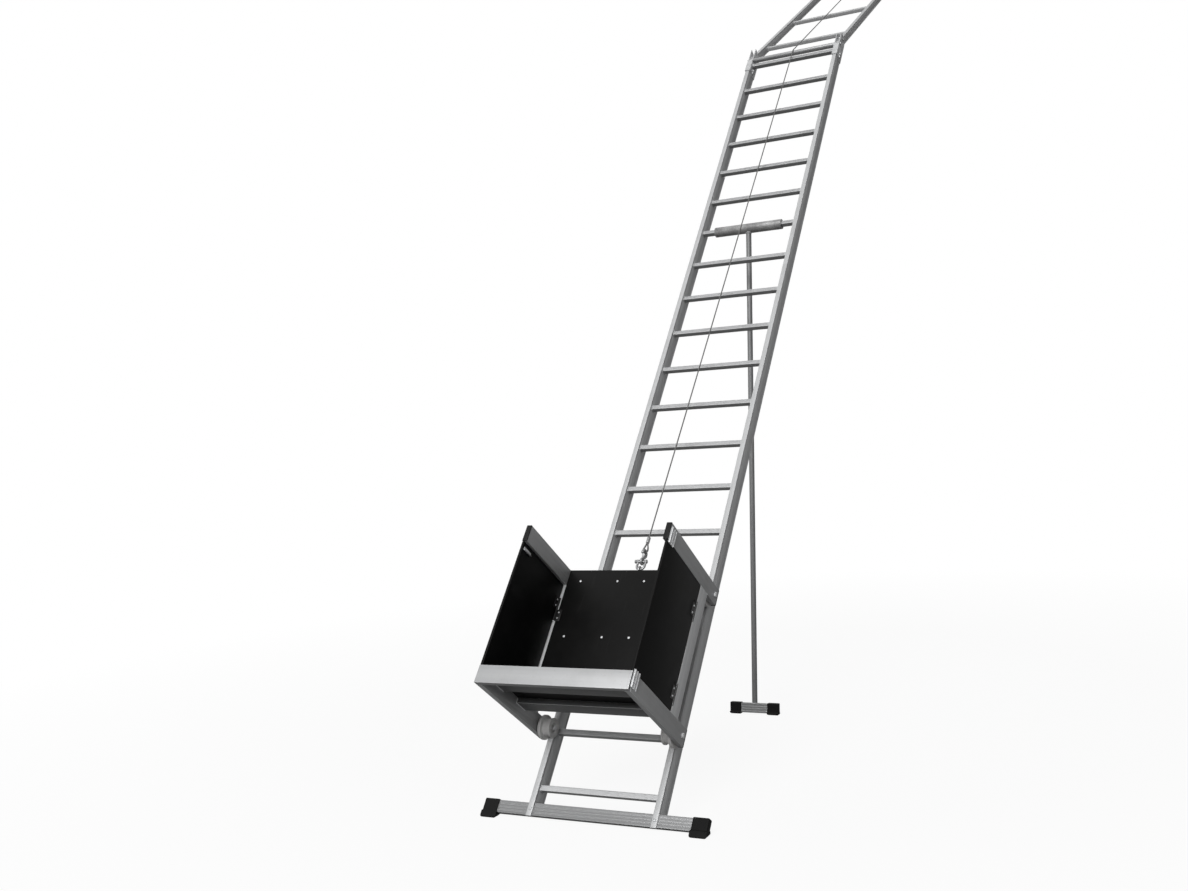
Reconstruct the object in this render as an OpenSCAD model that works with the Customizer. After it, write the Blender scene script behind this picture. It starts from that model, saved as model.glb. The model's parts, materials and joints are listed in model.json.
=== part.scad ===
/* [Ladder] */
// Angle between the ladder and the ground
lean_angle = 52; // [48:1:56]
// Clear width between the two stiles
clear_w = 610; // [560:5:680]
// Width of a stile across its running face
stile_w = 27; // [24:1:32]
// Depth of a stile
stile_d = 85; // [80:1:100]
// Wall of the stile profile
stile_wall = 2.2; // [1.8:0.1:4]
// Distance from rung to rung
rung_pitch = 280; // [260:5:300]
// Number of rungs on the main section
rung_count = 20; // [18:1:22]
// First rung above the zero line of the ladder
first_rung_rise = 161; // [150:1:200]
// Side of the square rung
rung_size = 28; // [24:1:32]
// Wall of the rung profile
rung_wall = 1.8; // [1.4:0.1:3]
// Rung centre behind the running face
rung_depth = 30; // [26:1:44]
// Side of the pressed collar at a rung's end
collar_size = 34; // [33:1:40]
// Thickness of the pressed collar
collar_t = 4; // [3:0.5:6]

/* [Stabiliser] */
// Length of the stabiliser bar without its caps
bar_len = 1136; // [1000:2:1300]
// Height of the ribbed bar
bar_h = 58; // [50:1:66]
// Depth of the ribbed bar
bar_d = 26; // [22:1:36]
// Wall of the ribbed bar
bar_wall = 3; // [2.5:0.1:5]
// Underside of the bar above the zero line of the ladder
bar_rise = 26; // [24:1:40]
// Front of the bar behind the running face
bar_setback = 6; // [4:1:10]
// Width of a rib groove
groove_w = 5; // [3:0.5:7]
// Depth of a rib groove
groove_t = 1.2; // [0.8:0.1:1.6]
// Length of a rubber cap
cap_len = 78; // [60:1:110]
// Wall of a rubber cap
cap_wall = 4; // [3:0.5:9]
// Spread of the cap's foot on each side
cap_flare = 6; // [4:1:14]
// Height of the flared foot of a cap
flare_h = 26; // [20:1:34]
// Rubber under the bar
sole_t = 8; // [6:1:14]

/* [Prop] */
// Count of rungs up to the one that carries the prop
prop_rung_count = 14; // [12:1:16]
// Lean of the prop from the vertical
prop_lean = 6; // [0:1:10]
// Diameter of the prop tube
prop_dia = 33; // [25:1:36]
// Wall of the prop tube
prop_wall = 2; // [1.5:0.1:3]
// Length of the sleeve on the rung
sleeve_len = 440; // [300:10:480]
// Outside diameter of the sleeve
sleeve_dia = 60; // [56:1:64]
// Length of the foot bar without its caps
foot_bar_len = 306; // [260:2:400]
// Length of a foot cap
foot_cap_len = 72; // [50:1:90]

/* [Carriage] */
// Underside of the carriage above the zero line of the ladder
carriage_rise = 392; // [380:1:600]
// Height of the carriage
carriage_h = 808; // [760:2:900]
// Overall width of the carriage
carriage_w = 755; // [755:1:850]
// Front of the carriage above the running face
carriage_reach = 617; // [560:1:680]
// Height of the arm profile
arm_h = 84; // [80:1:96]
// Thickness of the arm profile
arm_t = 25; // [22:1:30]
// Wall of the arm profile
arm_wall = 2.2; // [1.8:0.1:4]
// Rear end of the arms above the running face
arm_rear = 10; // [8:1:16]
// Rear face of the posts above the running face
post_rear = 118; // [110:1:140]
// Depth of the posts
post_d = 85; // [75:1:95]
// Thickness of the plywood panels
panel_t = 12; // [9:0.5:15]
// Height of the rails behind the back panel
rail_h = 60; // [50:1:70]
// Middle of the lower rail above the carriage's underside
mid_rail_rise = 441; // [380:1:480]
// Middle of the upper rail above the carriage's underside
top_rail_rise = 745; // [715:1:760]
// Inner panel bolts from the middle
bolt_inner_x = 72; // [50:1:120]
// Outer panel bolts from the middle
bolt_outer_x = 278; // [220:1:310]
// Front of the rear floor rail above the running face
floor_rail_front = 304; // [300:2:340]
// Front of the other floor rail above the running face
front_rail_front = 508; // [450:2:560]

/* [Rollers] */
// Running radius of a roller
tread_r = 40; // [36:1:44]
// Width of the running surface
tread_w = 42; // [36:1:46]
// Radius of the guide flange
flange_r = 59; // [52:1:62]
// Thickness of the guide flange
flange_t = 14; // [10:1:15]
// Radius of the disc that runs inside the stile
disc_r = 46; // [44:1:50]
// Diameter of the axle bolt
axle_dia = 16; // [12:1:20]

/* [Wings] */
// Length of a wing hinge
hinge_len = 124; // [100:2:150]
// Diameter of a hinge knuckle
knuckle_dia = 9; // [8:0.5:9.5]
// Width of a hinge leaf
leaf_w = 30; // [24:1:50]
// Thickness of a hinge leaf
leaf_t = 2.4; // [2:0.1:2.5]
// Middle of the lower hinge above the carriage's underside
low_hinge_rise = 168; // [160:1:240]
// Middle of the upper hinge above the carriage's underside
top_hinge_rise = 584; // [500:1:620]

/* [Knee] */
// Bend at the knee
knee_bend = 21; // [15:1:25]
// Knee axle above the last rung
knee_rise = 50; // [46:1:60]
// Knee axle behind the running face
knee_inset = 14; // [13:0.5:18]
// Diameter of the knee axle
knee_axle_dia = 14; // [12:1:16]
// Diameter of the rope roller at the knee
knee_roller_dia = 30; // [28:1:32]
// Thickness of a knee plate
plate_t = 5; // [4:0.5:6]
// Radius of a knee plate about its axle
plate_r = 112; // [108:1:130]
// Length of a knee plate on the stile
plate_tail = 126; // [122:1:180]

/* [Upper section] */
// Length of the upper stiles from the knee axle
upper_len = 2200; // [1800:10:2600]
// Depth of an upper stile
upper_d = 50; // [46:1:60]
// Drum axle below the top end of the upper stiles
drum_inset = 150; // [130:10:400]
// Radius of the drum's barrel
drum_r = 30; // [26:1:34]
// Radius of the drum's flanges
drum_flange_r = 54; // [46:1:58]
// Diameter of the drum shaft
shaft_dia = 26; // [20:1:30]
// Diameter of the gear motor
motor_dia = 92; // [80:1:100]
// Length of the gear motor
motor_len = 130; // [100:5:160]

/* [Rope] */
// Diameter of the wire rope
rope_dia = 8; // [5:0.5:9]
// Loops wound on the drum
wind_turns = 10; // [6:1:12]
// Rope lug above the carriage's underside
lug_rise = 842; // [820:1:850]
// Rope lug above the running face
lug_out = 150; // [140:1:152]

/* [Hidden] */
$fn = 48;

// Clearances and overrun
cut = 2;
run_gap = 0.3;
fit_gap = 0.05;
side_gap = 0.5;
cap_gap = 0.2;

// Finishes
alu = [0.74, 0.75, 0.76];
zinc = [0.62, 0.63, 0.65];
ply = [0.06, 0.06, 0.065];
rubber = [0.05, 0.05, 0.05];
nylon = [0.62, 0.62, 0.6];
steel = [0.5, 0.51, 0.52];

// Ladder places
inner_x = clear_w / 2;
outer_x = inner_x + stile_w;
last_rung = first_rung_rise + (rung_count - 1) * rung_pitch;
pivot_s = first_rung_rise + (prop_rung_count - 1) * rung_pitch;
knee_s = last_rung + knee_rise;
knee_v = -knee_inset;
stile_gap = 29;
stile_top = knee_s - stile_gap;
stile_foot = 22;
foot_clear = 12;

// The ground lies under the rear lower corner of the bar
bar_rear = -bar_setback - bar_d;
ground_drop = sole_t - bar_rise * sin(lean_angle) - bar_rear * cos(lean_angle);

// Ladder frame: x across, y up the ladder, z out of the running face
function lad_y(s, v) = s * cos(lean_angle) - v * sin(lean_angle);
function lad_z(s, v) = s * sin(lean_angle) + v * cos(lean_angle) + ground_drop;

// Upper section places
upper_tilt = lean_angle - knee_bend;
upper_back = upper_d - knee_inset;
front_y = lad_y(carriage_rise, carriage_reach);
back_y = lad_y(knee_s, knee_v) + upper_len * cos(upper_tilt) + upper_back * sin(upper_tilt);
mid_y = (front_y + back_y) / 2;
end_rung_inset = 40;
drum_run = upper_len - drum_inset;
crossbar_run = 60;
upper_rungs_at = [365, 1110, upper_len - end_rung_inset];

// Prop places
pivot_y = lad_y(pivot_s, -rung_depth) - mid_y;
pivot_z = lad_z(pivot_s, -rung_depth);
prop_len = pivot_z / cos(prop_lean);
foot_bar_low = -prop_len + sole_t / cos(prop_lean) + bar_d / 2 * tan(prop_lean);
sleeve_bore = rung_size * sqrt(2) + 2 * run_gap;

// Carriage places
half_w = carriage_w / 2;
arm_in = half_w - arm_t;
low_arm = carriage_rise;
low_arm_top = low_arm + arm_h;
carriage_top = carriage_rise + carriage_h;
top_arm = carriage_top - arm_h;
low_axle = low_arm + arm_h / 2;
top_axle = top_arm + arm_h / 2;
bar_back = carriage_reach - arm_t;
plug_t = 6;
plug_lip = 0.8;
panel_front = post_rear + post_d;
panel_back = panel_front - panel_t;
rail_back = panel_back - arm_t;
floor_low = low_arm_top - panel_t;
bolt_head_r = 7;
bolt_head_t = 2.5;

// Wing places
wing_out = half_w - run_gap;
wing_in = wing_out - panel_t;
axis_off = 5;
hinge_x = wing_in - axis_off;
hinge_v = panel_front + axis_off;
wing_edge = 3;
wing_low = low_arm_top + wing_edge;
wing_top = top_arm - wing_edge;
wing_rear = hinge_v - cut;
wing_front = carriage_reach - wing_edge;
pin_dia = 5;
knuckle_gap = 0.4;
hinge_rises = [low_hinge_rise, top_hinge_rise];
leaf_bolt_r = 4;
leaf_bolt_shares = [0.25, 0.75];
stop_t = 2;
stop_w = 50;
stop_on = 68;
stop_over = 12;
stop_rib = 5;
stop_rib_w = 4;
stop_ribs_at = [0, 21, 42];
stop_setback = 9;
tab_len = 62;
tab_h = 16;
tab_t = 3;
tab_lip = 9;
tab_drop = 38;
tab_setback = 12;

// Roller places
flange_x = outer_x + side_gap;
flange_end = flange_x + flange_t;
tread_x = flange_x - tread_w;
disc_clear = 5;
disc_t = tread_w - stile_w - disc_clear;
head_t = 9;
head_r = 13;
nut_t = 8;
washer_r = 13;
axle_tip = tread_x - side_gap - nut_t - cut;

// Knee places
lock_r = 90;
lock_dia = 12;
lock_head_r = 10;
lock_head_t = 7;
upper_w = stile_w - 2 * run_gap;
upper_x = inner_x + run_gap;
knee_bolt_dia = 10;
web_drop = 12;
web_len = plate_tail - web_drop;
knee_bolts_at = [84, 110];
plug_run = 30;
upper_start = 5;
upper_wall = 1.8;
knee_nut_r = 12;
knee_nut_t = 8;

// Rope places
rope_r = rope_dia / 2;
knee_path = knee_roller_dia / 2 + run_gap + rope_r;
lug_s = carriage_rise + lug_rise;
lug_v = lug_out;
lug_to_knee = norm([knee_s - lug_s, knee_v - lug_v]);
rope_angle = atan2(knee_v - lug_v, knee_s - lug_s) + asin(knee_path / lug_to_knee);
tangent_s = knee_s - knee_path * sin(rope_angle);
tangent_v = knee_v + knee_path * cos(rope_angle);
tangent_run = norm([tangent_s - lug_s, tangent_v - lug_v]);
drum_path = drum_r + run_gap + rope_r;
drum_b = knee_path - drum_path;
wind_gap = 0.6;
wind_pitch = rope_dia + wind_gap;
anchor_r = 2 * rope_dia;
drum_in = wind_pitch * (wind_turns + 1) + anchor_r + rope_dia;
drum_flange_t = 6;
bearing_t = 10;
bearing_len = 90;
shaft_wall = 4;
motor_wall = 6;

// Rope gear places, counted up the rope from the lug
lug_t = 8;
lug_r = 17;
lug_tail = 119;
lug_bore = 14;
bow_r = 21;
bow_rod = 6;
pin_at = 46;
bow_eye_r = 10;
bow_eye_t = 12;
shackle_pin_r = 5.5;
pin_head_r = 9;
pin_head_t = 7;
pin_over = 3;
hook_eye_r = 13;
hook_eye_rod = 6.5;
hook_eye_at = pin_at + hook_eye_r - hook_eye_rod - shackle_pin_r - run_gap;
hook_bowl_r = 18;
hook_rod = 8;
hook_shank = 14;
hook_bowl_at = hook_eye_at + hook_eye_r + hook_shank + hook_bowl_r;
hook_sweep = 285;
thimble_rod = 4;
thimble_r = 14;
thimble_at = hook_bowl_at + hook_bowl_r - hook_rod - thimble_rod - run_gap;
thimble_len = 58;
ferrule_len = 34;
ferrule_r = 9;
rope_start = thimble_at + thimble_len + ferrule_len + run_gap;

big = 4000;

// Frames
module on_ladder() {
    translate([0, -mid_y, ground_drop]) rotate([lean_angle, 0, 0]) children();
}

module on_upper() {
    on_ladder() translate([0, knee_s, knee_v]) rotate([-knee_bend, 0, 0]) children();
}

module on_prop() {
    translate([0, pivot_y, pivot_z]) rotate([-prop_lean, 0, 0]) children();
}

// Rope gear frame: z up the rope from the lug, x across
module on_rope() {
    on_ladder() translate([0, lug_s, lug_v]) rotate([rope_angle - 90, 0, 0]) children();
}

module both_sides() {
    children();
    mirror([1, 0, 0]) children();
}

module left_side() {
    mirror([1, 0, 0]) children();
}

// Everything lower than a height above the ground
module below(height) {
    translate([-big, -2 * big, height - big]) cube([2 * big, 4 * big, big]);
}

// A cylinder along x
module x_rod(x0, len, r, sides = 48) {
    translate([x0, 0, 0]) rotate([0, 90, 0]) cylinder(h = len, r = r, $fn = sides);
}

// A side outline in y and z, made thick along x
module side_plate(x0, t) {
    translate([x0, 0, 0]) rotate([90, 0, 90]) linear_extrude(t) children();
}

// A box profile along y
module tube_y(size, wall) {
    difference() {
        cube(size);
        translate([wall, -cut, wall])
            cube([size.x - 2 * wall, size.y + 2 * cut, size.z - 2 * wall]);
    }
}

// A box profile along z
module tube_z(size, wall) {
    difference() {
        cube(size);
        translate([wall, wall, -cut])
            cube([size.x - 2 * wall, size.y - 2 * wall, size.z + 2 * cut]);
    }
}

// A box profile along x
module tube_x(size, wall) {
    difference() {
        cube(size);
        translate([-cut, wall, wall])
            cube([size.x + 2 * cut, size.y - 2 * wall, size.z - 2 * wall]);
    }
}

// Main ladder
module stile() {
    color(alu) difference() {
        on_ladder() difference() {
            translate([inner_x, stile_foot, -stile_d])
                tube_y([stile_w, stile_top - stile_foot, stile_d], stile_wall);
            translate([0, bar_rise - cap_gap, bar_rear - cap_gap])
                cube([bar_len, bar_h + 2 * cap_gap, bar_d + 2 * cap_gap]);
            for (b = knee_bolts_at)
                translate([0, knee_s - b, -stile_d / 2])
                    x_rod(inner_x - cut, stile_w + 2 * cut, knee_bolt_dia / 2 + fit_gap);
        }
        below(foot_clear);
    }
}

module left_stile() {
    left_side() stile();
}

module right_stile() {
    stile();
}

// A rung along x with a pressed collar at each end
module rung(half) {
    tube_from = -rung_size / 2;
    difference() {
        union() {
            translate([-half, tube_from, tube_from]) cube([2 * half, rung_size, rung_size]);
            both_sides() translate([half - collar_t, -collar_size / 2, -collar_size / 2])
                cube([collar_t, collar_size, collar_size]);
        }
        translate([-half - cut, tube_from + rung_wall, tube_from + rung_wall])
            cube([2 * half + 2 * cut, rung_size - 2 * rung_wall, rung_size - 2 * rung_wall]);
    }
}

module rungs() {
    color(alu) on_ladder()
        for (n = [1 : rung_count])
            if (n != prop_rung_count)
                translate([0, first_rung_rise + (n - 1) * rung_pitch, -rung_depth])
                    rung(n == rung_count ? inner_x - plate_t : inner_x);
}

module prop_rung() {
    color(alu) on_ladder() translate([0, pivot_s, -rung_depth]) rung(inner_x);
}

// The ribbed bar along x, its height along y and its depth along z
groove_shares = [0.25, 0.5, 0.75];

module ribbed_bar(len) {
    translate([-len / 2, 0, -bar_d]) difference() {
        tube_x([len, bar_h, bar_d], bar_wall);
        for (share = groove_shares)
            for (face = [-groove_w + groove_t, bar_d - groove_t])
                translate([-cut, share * bar_h - groove_w / 2, face])
                    cube([len + 2 * cut, groove_w, groove_w]);
    }
}

module stabiliser_bar() {
    color(alu) on_ladder() translate([0, bar_rise, -bar_setback]) ribbed_bar(bar_len);
}

// A rubber cap on the right end of a ribbed bar, with its foot carried past the ground
module bar_cap(len, end_x, drop) {
    out = cap_wall + cap_flare / 3;
    difference() {
        union() {
            translate([end_x - len + cap_wall, -cap_wall, -bar_d - cap_wall])
                cube([len, bar_h + 2 * cap_wall, bar_d + 2 * cap_wall]);
            translate([end_x - len + cap_wall - cap_flare / 2, -drop, -bar_d - out])
                cube([len + cap_flare, drop + flare_h - cap_wall - sole_t, bar_d + 2 * out]);
        }
        translate([end_x - len - 2 * cap_flare, -cap_gap, -bar_d - cap_gap])
            cube([len + 2 * cap_flare, bar_h + 2 * cap_gap, bar_d + 2 * cap_gap]);
    }
}

cap_drop = bar_rise + 2 * sole_t;

module stabiliser_cap() {
    color(rubber) difference() {
        on_ladder() translate([0, bar_rise, -bar_setback]) bar_cap(cap_len, bar_len / 2, cap_drop);
        below(0);
    }
}

module left_stabiliser_cap() {
    left_side() stabiliser_cap();
}

module right_stabiliser_cap() {
    stabiliser_cap();
}

// Bolts of the knee plates
module ladder_bolts() {
    color(zinc) on_ladder() both_sides()
        for (b = knee_bolts_at)
            translate([0, knee_s - b, -stile_d / 2]) {
                x_rod(inner_x - plate_t, stile_w + 2 * plate_t, knee_bolt_dia / 2);
                x_rod(outer_x + plate_t, knee_nut_t, knee_nut_r, 6);
                x_rod(inner_x - plate_t - knee_nut_t, knee_nut_t, knee_nut_r, 6);
            }
}

// Knee
module arc_slot(r, half, from, to) {
    over = asin(half / r);
    difference() {
        circle(r + half);
        circle(r - half);
        rotate(to + over) translate([-2 * r, 0]) square([4 * r, 2 * r]);
        rotate(from - over) translate([-2 * r, -2 * r]) square([4 * r, 2 * r]);
    }
}

module knee_outline() {
    difference() {
        union() {
            translate([knee_s - plate_tail, -stile_d]) square([plate_tail, stile_d]);
            translate([knee_s - plate_tail, -stile_d]) square([web_len, stile_d + plate_t]);
            intersection() {
                translate([knee_s, knee_v]) circle(plate_r);
                translate([knee_s - cut, -stile_d]) square([plate_r + 2 * cut, stile_d]);
            }
        }
        translate([knee_s, knee_v]) {
            circle(knee_axle_dia / 2 + fit_gap);
            arc_slot(lock_r, lock_dia / 2 + run_gap, -knee_bend, 0);
        }
        for (b = knee_bolts_at)
            translate([knee_s - b, -stile_d / 2]) circle(knee_bolt_dia / 2 + fit_gap);
    }
}

module knee_plates() {
    color(zinc) on_ladder() {
        side_plate(outer_x, plate_t) knee_outline();
        side_plate(inner_x - plate_t, plate_t) knee_outline();
        translate([inner_x - plate_t, knee_s - plate_tail, 0])
            cube([stile_w + 2 * plate_t, web_len, plate_t]);
    }
}

module left_knee_plates() {
    left_side() knee_plates();
}

module right_knee_plates() {
    knee_plates();
}

module knee_axle() {
    color(zinc) on_ladder() translate([0, knee_s, knee_v]) {
        x_rod(-outer_x - plate_t, 2 * outer_x + 2 * plate_t, knee_axle_dia / 2);
        both_sides() x_rod(outer_x + plate_t, knee_nut_t, knee_nut_r, 6);
    }
}

// A bar that keeps the inner knee plates apart
module knee_crossbar() {
    color(alu) on_upper() translate([0, crossbar_run, knee_inset - rung_depth])
        rung(inner_x - plate_t);
}

module knee_roller() {
    half = inner_x - plate_t - side_gap;
    color(zinc) on_ladder() translate([0, knee_s, knee_v]) difference() {
        x_rod(-half, 2 * half, knee_roller_dia / 2);
        x_rod(-half - cut, 2 * half + 2 * cut, knee_axle_dia / 2 + fit_gap);
    }
}

// Carriage frame
module arm(low, axle, front) {
    color(alu) on_ladder() difference() {
        translate([arm_in, low, arm_rear]) tube_z([arm_t, arm_h, front - arm_rear], arm_wall);
        translate([0, axle, tread_r])
            x_rod(arm_in - cut, arm_t + 2 * cut, axle_dia / 2 + fit_gap);
    }
}

module left_top_arm() {
    left_side() right_top_arm();
}

module right_top_arm() {
    arm(top_arm, top_axle, carriage_reach - plug_t);
}

module left_bottom_arm() {
    left_side() right_bottom_arm();
}

module right_bottom_arm() {
    arm(low_arm, low_axle, bar_back);
}

module front_bar() {
    color(alu) on_ladder() translate([-half_w, low_arm, bar_back])
        tube_x([carriage_w, arm_h, arm_t], arm_wall);
}

module left_post() {
    left_side() right_post();
}

module right_post() {
    color(alu) on_ladder() translate([arm_in, low_arm_top, post_rear])
        tube_y([arm_t, top_arm - low_arm_top, post_d], arm_wall);
}

// Two rails behind the back panel and two laid flat under the floor
module carriage_rails() {
    color(alu) on_ladder() {
        for (rise = [mid_rail_rise, top_rail_rise])
            translate([-arm_in, carriage_rise + rise - rail_h / 2, rail_back])
                tube_x([2 * arm_in, rail_h, arm_t], arm_wall);
        for (front = [floor_rail_front, front_rail_front])
            translate([-arm_in, floor_low - arm_t, front - arm_h])
                tube_x([2 * arm_in, arm_t, arm_h], arm_wall);
    }
}

module floor_panel() {
    color(ply) on_ladder() translate([-arm_in, floor_low, panel_front])
        cube([2 * arm_in, panel_t, bar_back - panel_front]);
}

module back_panel() {
    color(ply) on_ladder() translate([-arm_in, floor_low, panel_back])
        cube([2 * arm_in, carriage_top - floor_low, panel_t]);
}

module panel_bolts() {
    color(zinc) on_ladder() both_sides()
        for (rise = [mid_rail_rise, top_rail_rise])
            for (x = [bolt_inner_x, bolt_outer_x])
                translate([x, carriage_rise + rise, panel_front])
                    cylinder(h = bolt_head_t, r1 = bolt_head_r, r2 = bolt_head_r - bolt_head_t);
}

// Plugs in the open ends of the arms
module arm_plug(low, face) {
    translate([arm_in - plug_lip, low - plug_lip, face])
        cube([arm_t + 2 * plug_lip, arm_h + 2 * plug_lip, plug_t]);
}

module arm_plugs() {
    color(rubber) on_ladder() both_sides() {
        arm_plug(top_arm, carriage_reach - plug_t);
        arm_plug(top_arm, arm_rear - plug_t);
        arm_plug(low_arm, arm_rear - plug_t);
    }
}

// Ribbed plates on the arms that hold a wing from outside
module wing_stop(low, len) {
    rear = carriage_reach - stop_setback - stop_w;
    translate([half_w, low, rear]) cube([stop_t, len, stop_w]);
    for (at = stop_ribs_at)
        translate([half_w, low, rear + at]) cube([stop_t + stop_rib, len, stop_rib_w]);
}

module wing_stops() {
    color(zinc) on_ladder() both_sides() {
        wing_stop(top_arm - stop_over, stop_over + stop_on);
        wing_stop(low_arm_top - stop_on, stop_over + stop_on);
    }
}

// Rollers
module roller_axle(at) {
    translate([0, at, tread_r]) {
        x_rod(axle_tip, half_w - axle_tip, axle_dia / 2);
        x_rod(half_w, head_t, head_r, 6);
        x_rod(tread_x - side_gap - nut_t, nut_t, head_r, 6);
        x_rod(flange_end + side_gap, arm_in - flange_end - side_gap, washer_r);
    }
}

module roller_axles() {
    color(zinc) on_ladder() both_sides() {
        roller_axle(low_axle);
        roller_axle(top_axle);
    }
}

module roller(at) {
    color(nylon) on_ladder() translate([0, at, tread_r]) difference() {
        union() {
            x_rod(tread_x, tread_w - cap_gap, tread_r - run_gap);
            x_rod(flange_x, flange_t, flange_r);
            x_rod(tread_x, disc_t, disc_r);
        }
        x_rod(tread_x - cut, tread_w + flange_t + 2 * cut, axle_dia / 2 + fit_gap);
    }
}

module left_top_roller() {
    left_side() roller(top_axle);
}

module right_top_roller() {
    roller(top_axle);
}

module left_bottom_roller() {
    left_side() roller(low_axle);
}

module right_bottom_roller() {
    roller(low_axle);
}

// Wings
module wing_panel() {
    color(ply) on_ladder() translate([wing_in, wing_low, wing_rear])
        cube([panel_t, wing_top - wing_low, wing_front - wing_rear]);
}

module left_wing_panel() {
    left_side() wing_panel();
}

module right_wing_panel() {
    wing_panel();
}

// A knuckle along the ladder with a bore for its pin
module knuckle(low, len) {
    translate([hinge_x, low, hinge_v]) rotate([-90, 0, 0]) difference() {
        cylinder(h = len, d = knuckle_dia);
        translate([0, 0, -cut]) cylinder(h = len + 2 * cut, d = pin_dia + 2 * fit_gap);
    }
}

knuckle_len = hinge_len / 2 - knuckle_gap / 2;

module wing_leaf(rise) {
    low = carriage_rise + rise + knuckle_gap / 2;
    face_x = wing_in - leaf_t;
    knuckle(low, knuckle_len);
    difference() {
        translate([face_x, low, hinge_v]) cube([leaf_t, knuckle_len, leaf_w]);
        translate([hinge_x, low - cut, hinge_v]) rotate([-90, 0, 0])
            cylinder(h = knuckle_len + 2 * cut, d = pin_dia + 2 * fit_gap);
    }
    for (share = leaf_bolt_shares)
        translate([0, low + share * knuckle_len, hinge_v + leaf_w / 2]) {
            x_rod(face_x - bolt_head_t, bolt_head_t, leaf_bolt_r);
            x_rod(wing_out, bolt_head_t, leaf_bolt_r);
        }
}

module wing_leaves() {
    color(rubber) on_ladder()
        for (rise = hinge_rises) wing_leaf(rise);
}

module left_wing_leaves() {
    left_side() wing_leaves();
}

module right_wing_leaves() {
    wing_leaves();
}

// The fixed leaf lies flat on the post and the back panel
module post_leaf(rise) {
    low = carriage_rise + rise - hinge_len / 2;
    knuckle(low, knuckle_len);
    difference() {
        translate([hinge_x - leaf_w, low, panel_front]) cube([leaf_w, knuckle_len, leaf_t]);
        translate([hinge_x, low - cut, hinge_v]) rotate([-90, 0, 0])
            cylinder(h = knuckle_len + 2 * cut, d = pin_dia + 2 * fit_gap);
    }
    for (share = leaf_bolt_shares)
        translate([hinge_x - leaf_w / 2, low + share * knuckle_len, panel_front + leaf_t])
            cylinder(h = bolt_head_t, r = leaf_bolt_r);
}

module post_hinge_leaves() {
    color(rubber) on_ladder() both_sides()
        for (rise = hinge_rises) post_leaf(rise);
}

module hinge_pins() {
    color(zinc) on_ladder() both_sides()
        for (rise = hinge_rises)
            translate([hinge_x, carriage_rise + rise - hinge_len / 2, hinge_v]) rotate([-90, 0, 0]) {
                cylinder(h = hinge_len, d = pin_dia);
                translate([0, 0, -bolt_head_t]) cylinder(h = bolt_head_t, d = knuckle_dia);
            }
}

// A small angle that holds the wing and pulls it
module wing_tab() {
    low = wing_top - tab_drop;
    rear = wing_front - tab_setback - tab_len;
    color(zinc) on_ladder() {
        translate([wing_in - tab_t, low, rear]) cube([tab_t, tab_h, tab_len]);
        translate([wing_in - tab_lip, low, rear]) cube([tab_lip, tab_t, tab_len]);
    }
}

module left_wing_tab() {
    left_side() wing_tab();
}

module right_wing_tab() {
    wing_tab();
}

// Prop
module prop_sleeve() {
    color(alu) on_prop() difference() {
        x_rod(-sleeve_len / 2, sleeve_len, sleeve_dia / 2);
        x_rod(-sleeve_len / 2 - cut, sleeve_len + 2 * cut, sleeve_bore / 2);
    }
}

// The tube is coped to the sleeve and stands on the foot bar
module prop_tube() {
    low = foot_bar_low + bar_h;
    color(alu) on_prop() difference() {
        translate([0, 0, low]) cylinder(h = -low, d = prop_dia);
        translate([0, 0, low - cut]) cylinder(h = -low + 2 * cut, d = prop_dia - 2 * prop_wall);
        x_rod(-prop_dia, 2 * prop_dia, sleeve_dia / 2);
    }
}

module on_prop_foot() {
    on_prop() translate([0, bar_d / 2, foot_bar_low]) rotate([90, 0, 0])
        translate([0, 0, bar_d]) children();
}

module prop_foot_bar() {
    color(alu) on_prop_foot() ribbed_bar(foot_bar_len);
}

module prop_foot_caps() {
    color(rubber) difference() {
        on_prop_foot() both_sides() bar_cap(foot_cap_len, foot_bar_len / 2, 2 * sole_t);
        below(0);
    }
}

// Upper section
module upper_outline() {
    difference() {
        union() {
            translate([upper_start, -upper_back]) square([upper_len - upper_start, upper_d]);
            circle(knee_inset);
        }
        circle(knee_axle_dia / 2 + fit_gap);
        translate([lock_r, 0]) circle(lock_dia / 2 + fit_gap);
    }
}

module upper_stile() {
    color(alu) on_upper() difference() {
        side_plate(upper_x, upper_w) upper_outline();
        translate([upper_x + upper_wall, plug_run, -upper_back + upper_wall])
            cube([upper_w - 2 * upper_wall, upper_len, upper_d - 2 * upper_wall]);
    }
}

module left_upper_stile() {
    left_side() upper_stile();
}

module right_upper_stile() {
    upper_stile();
}

module upper_rungs() {
    color(alu) on_upper()
        for (a = upper_rungs_at)
            translate([0, a, knee_inset - rung_depth]) rung(upper_x);
}

// Bolts through the upper stiles that run in the slots of the knee plates
module knee_lock_bolts() {
    color(zinc) on_upper() both_sides() translate([0, lock_r, 0]) {
        x_rod(inner_x - plate_t - side_gap, stile_w + 2 * plate_t + 2 * side_gap, lock_dia / 2);
        x_rod(outer_x + plate_t + side_gap, lock_head_t, lock_head_r, 6);
        x_rod(inner_x - plate_t - side_gap - lock_head_t, lock_head_t, lock_head_r, 6);
    }
}

module winch_bearings() {
    color(zinc) on_upper() both_sides() difference() {
        translate([upper_x - bearing_t, drum_run - bearing_len / 2, -upper_back])
            cube([bearing_t, bearing_len, upper_d]);
        translate([0, drum_run, drum_b])
            x_rod(upper_x - bearing_t - cut, bearing_t + 2 * cut, shaft_dia / 2 + fit_gap);
    }
}

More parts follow.
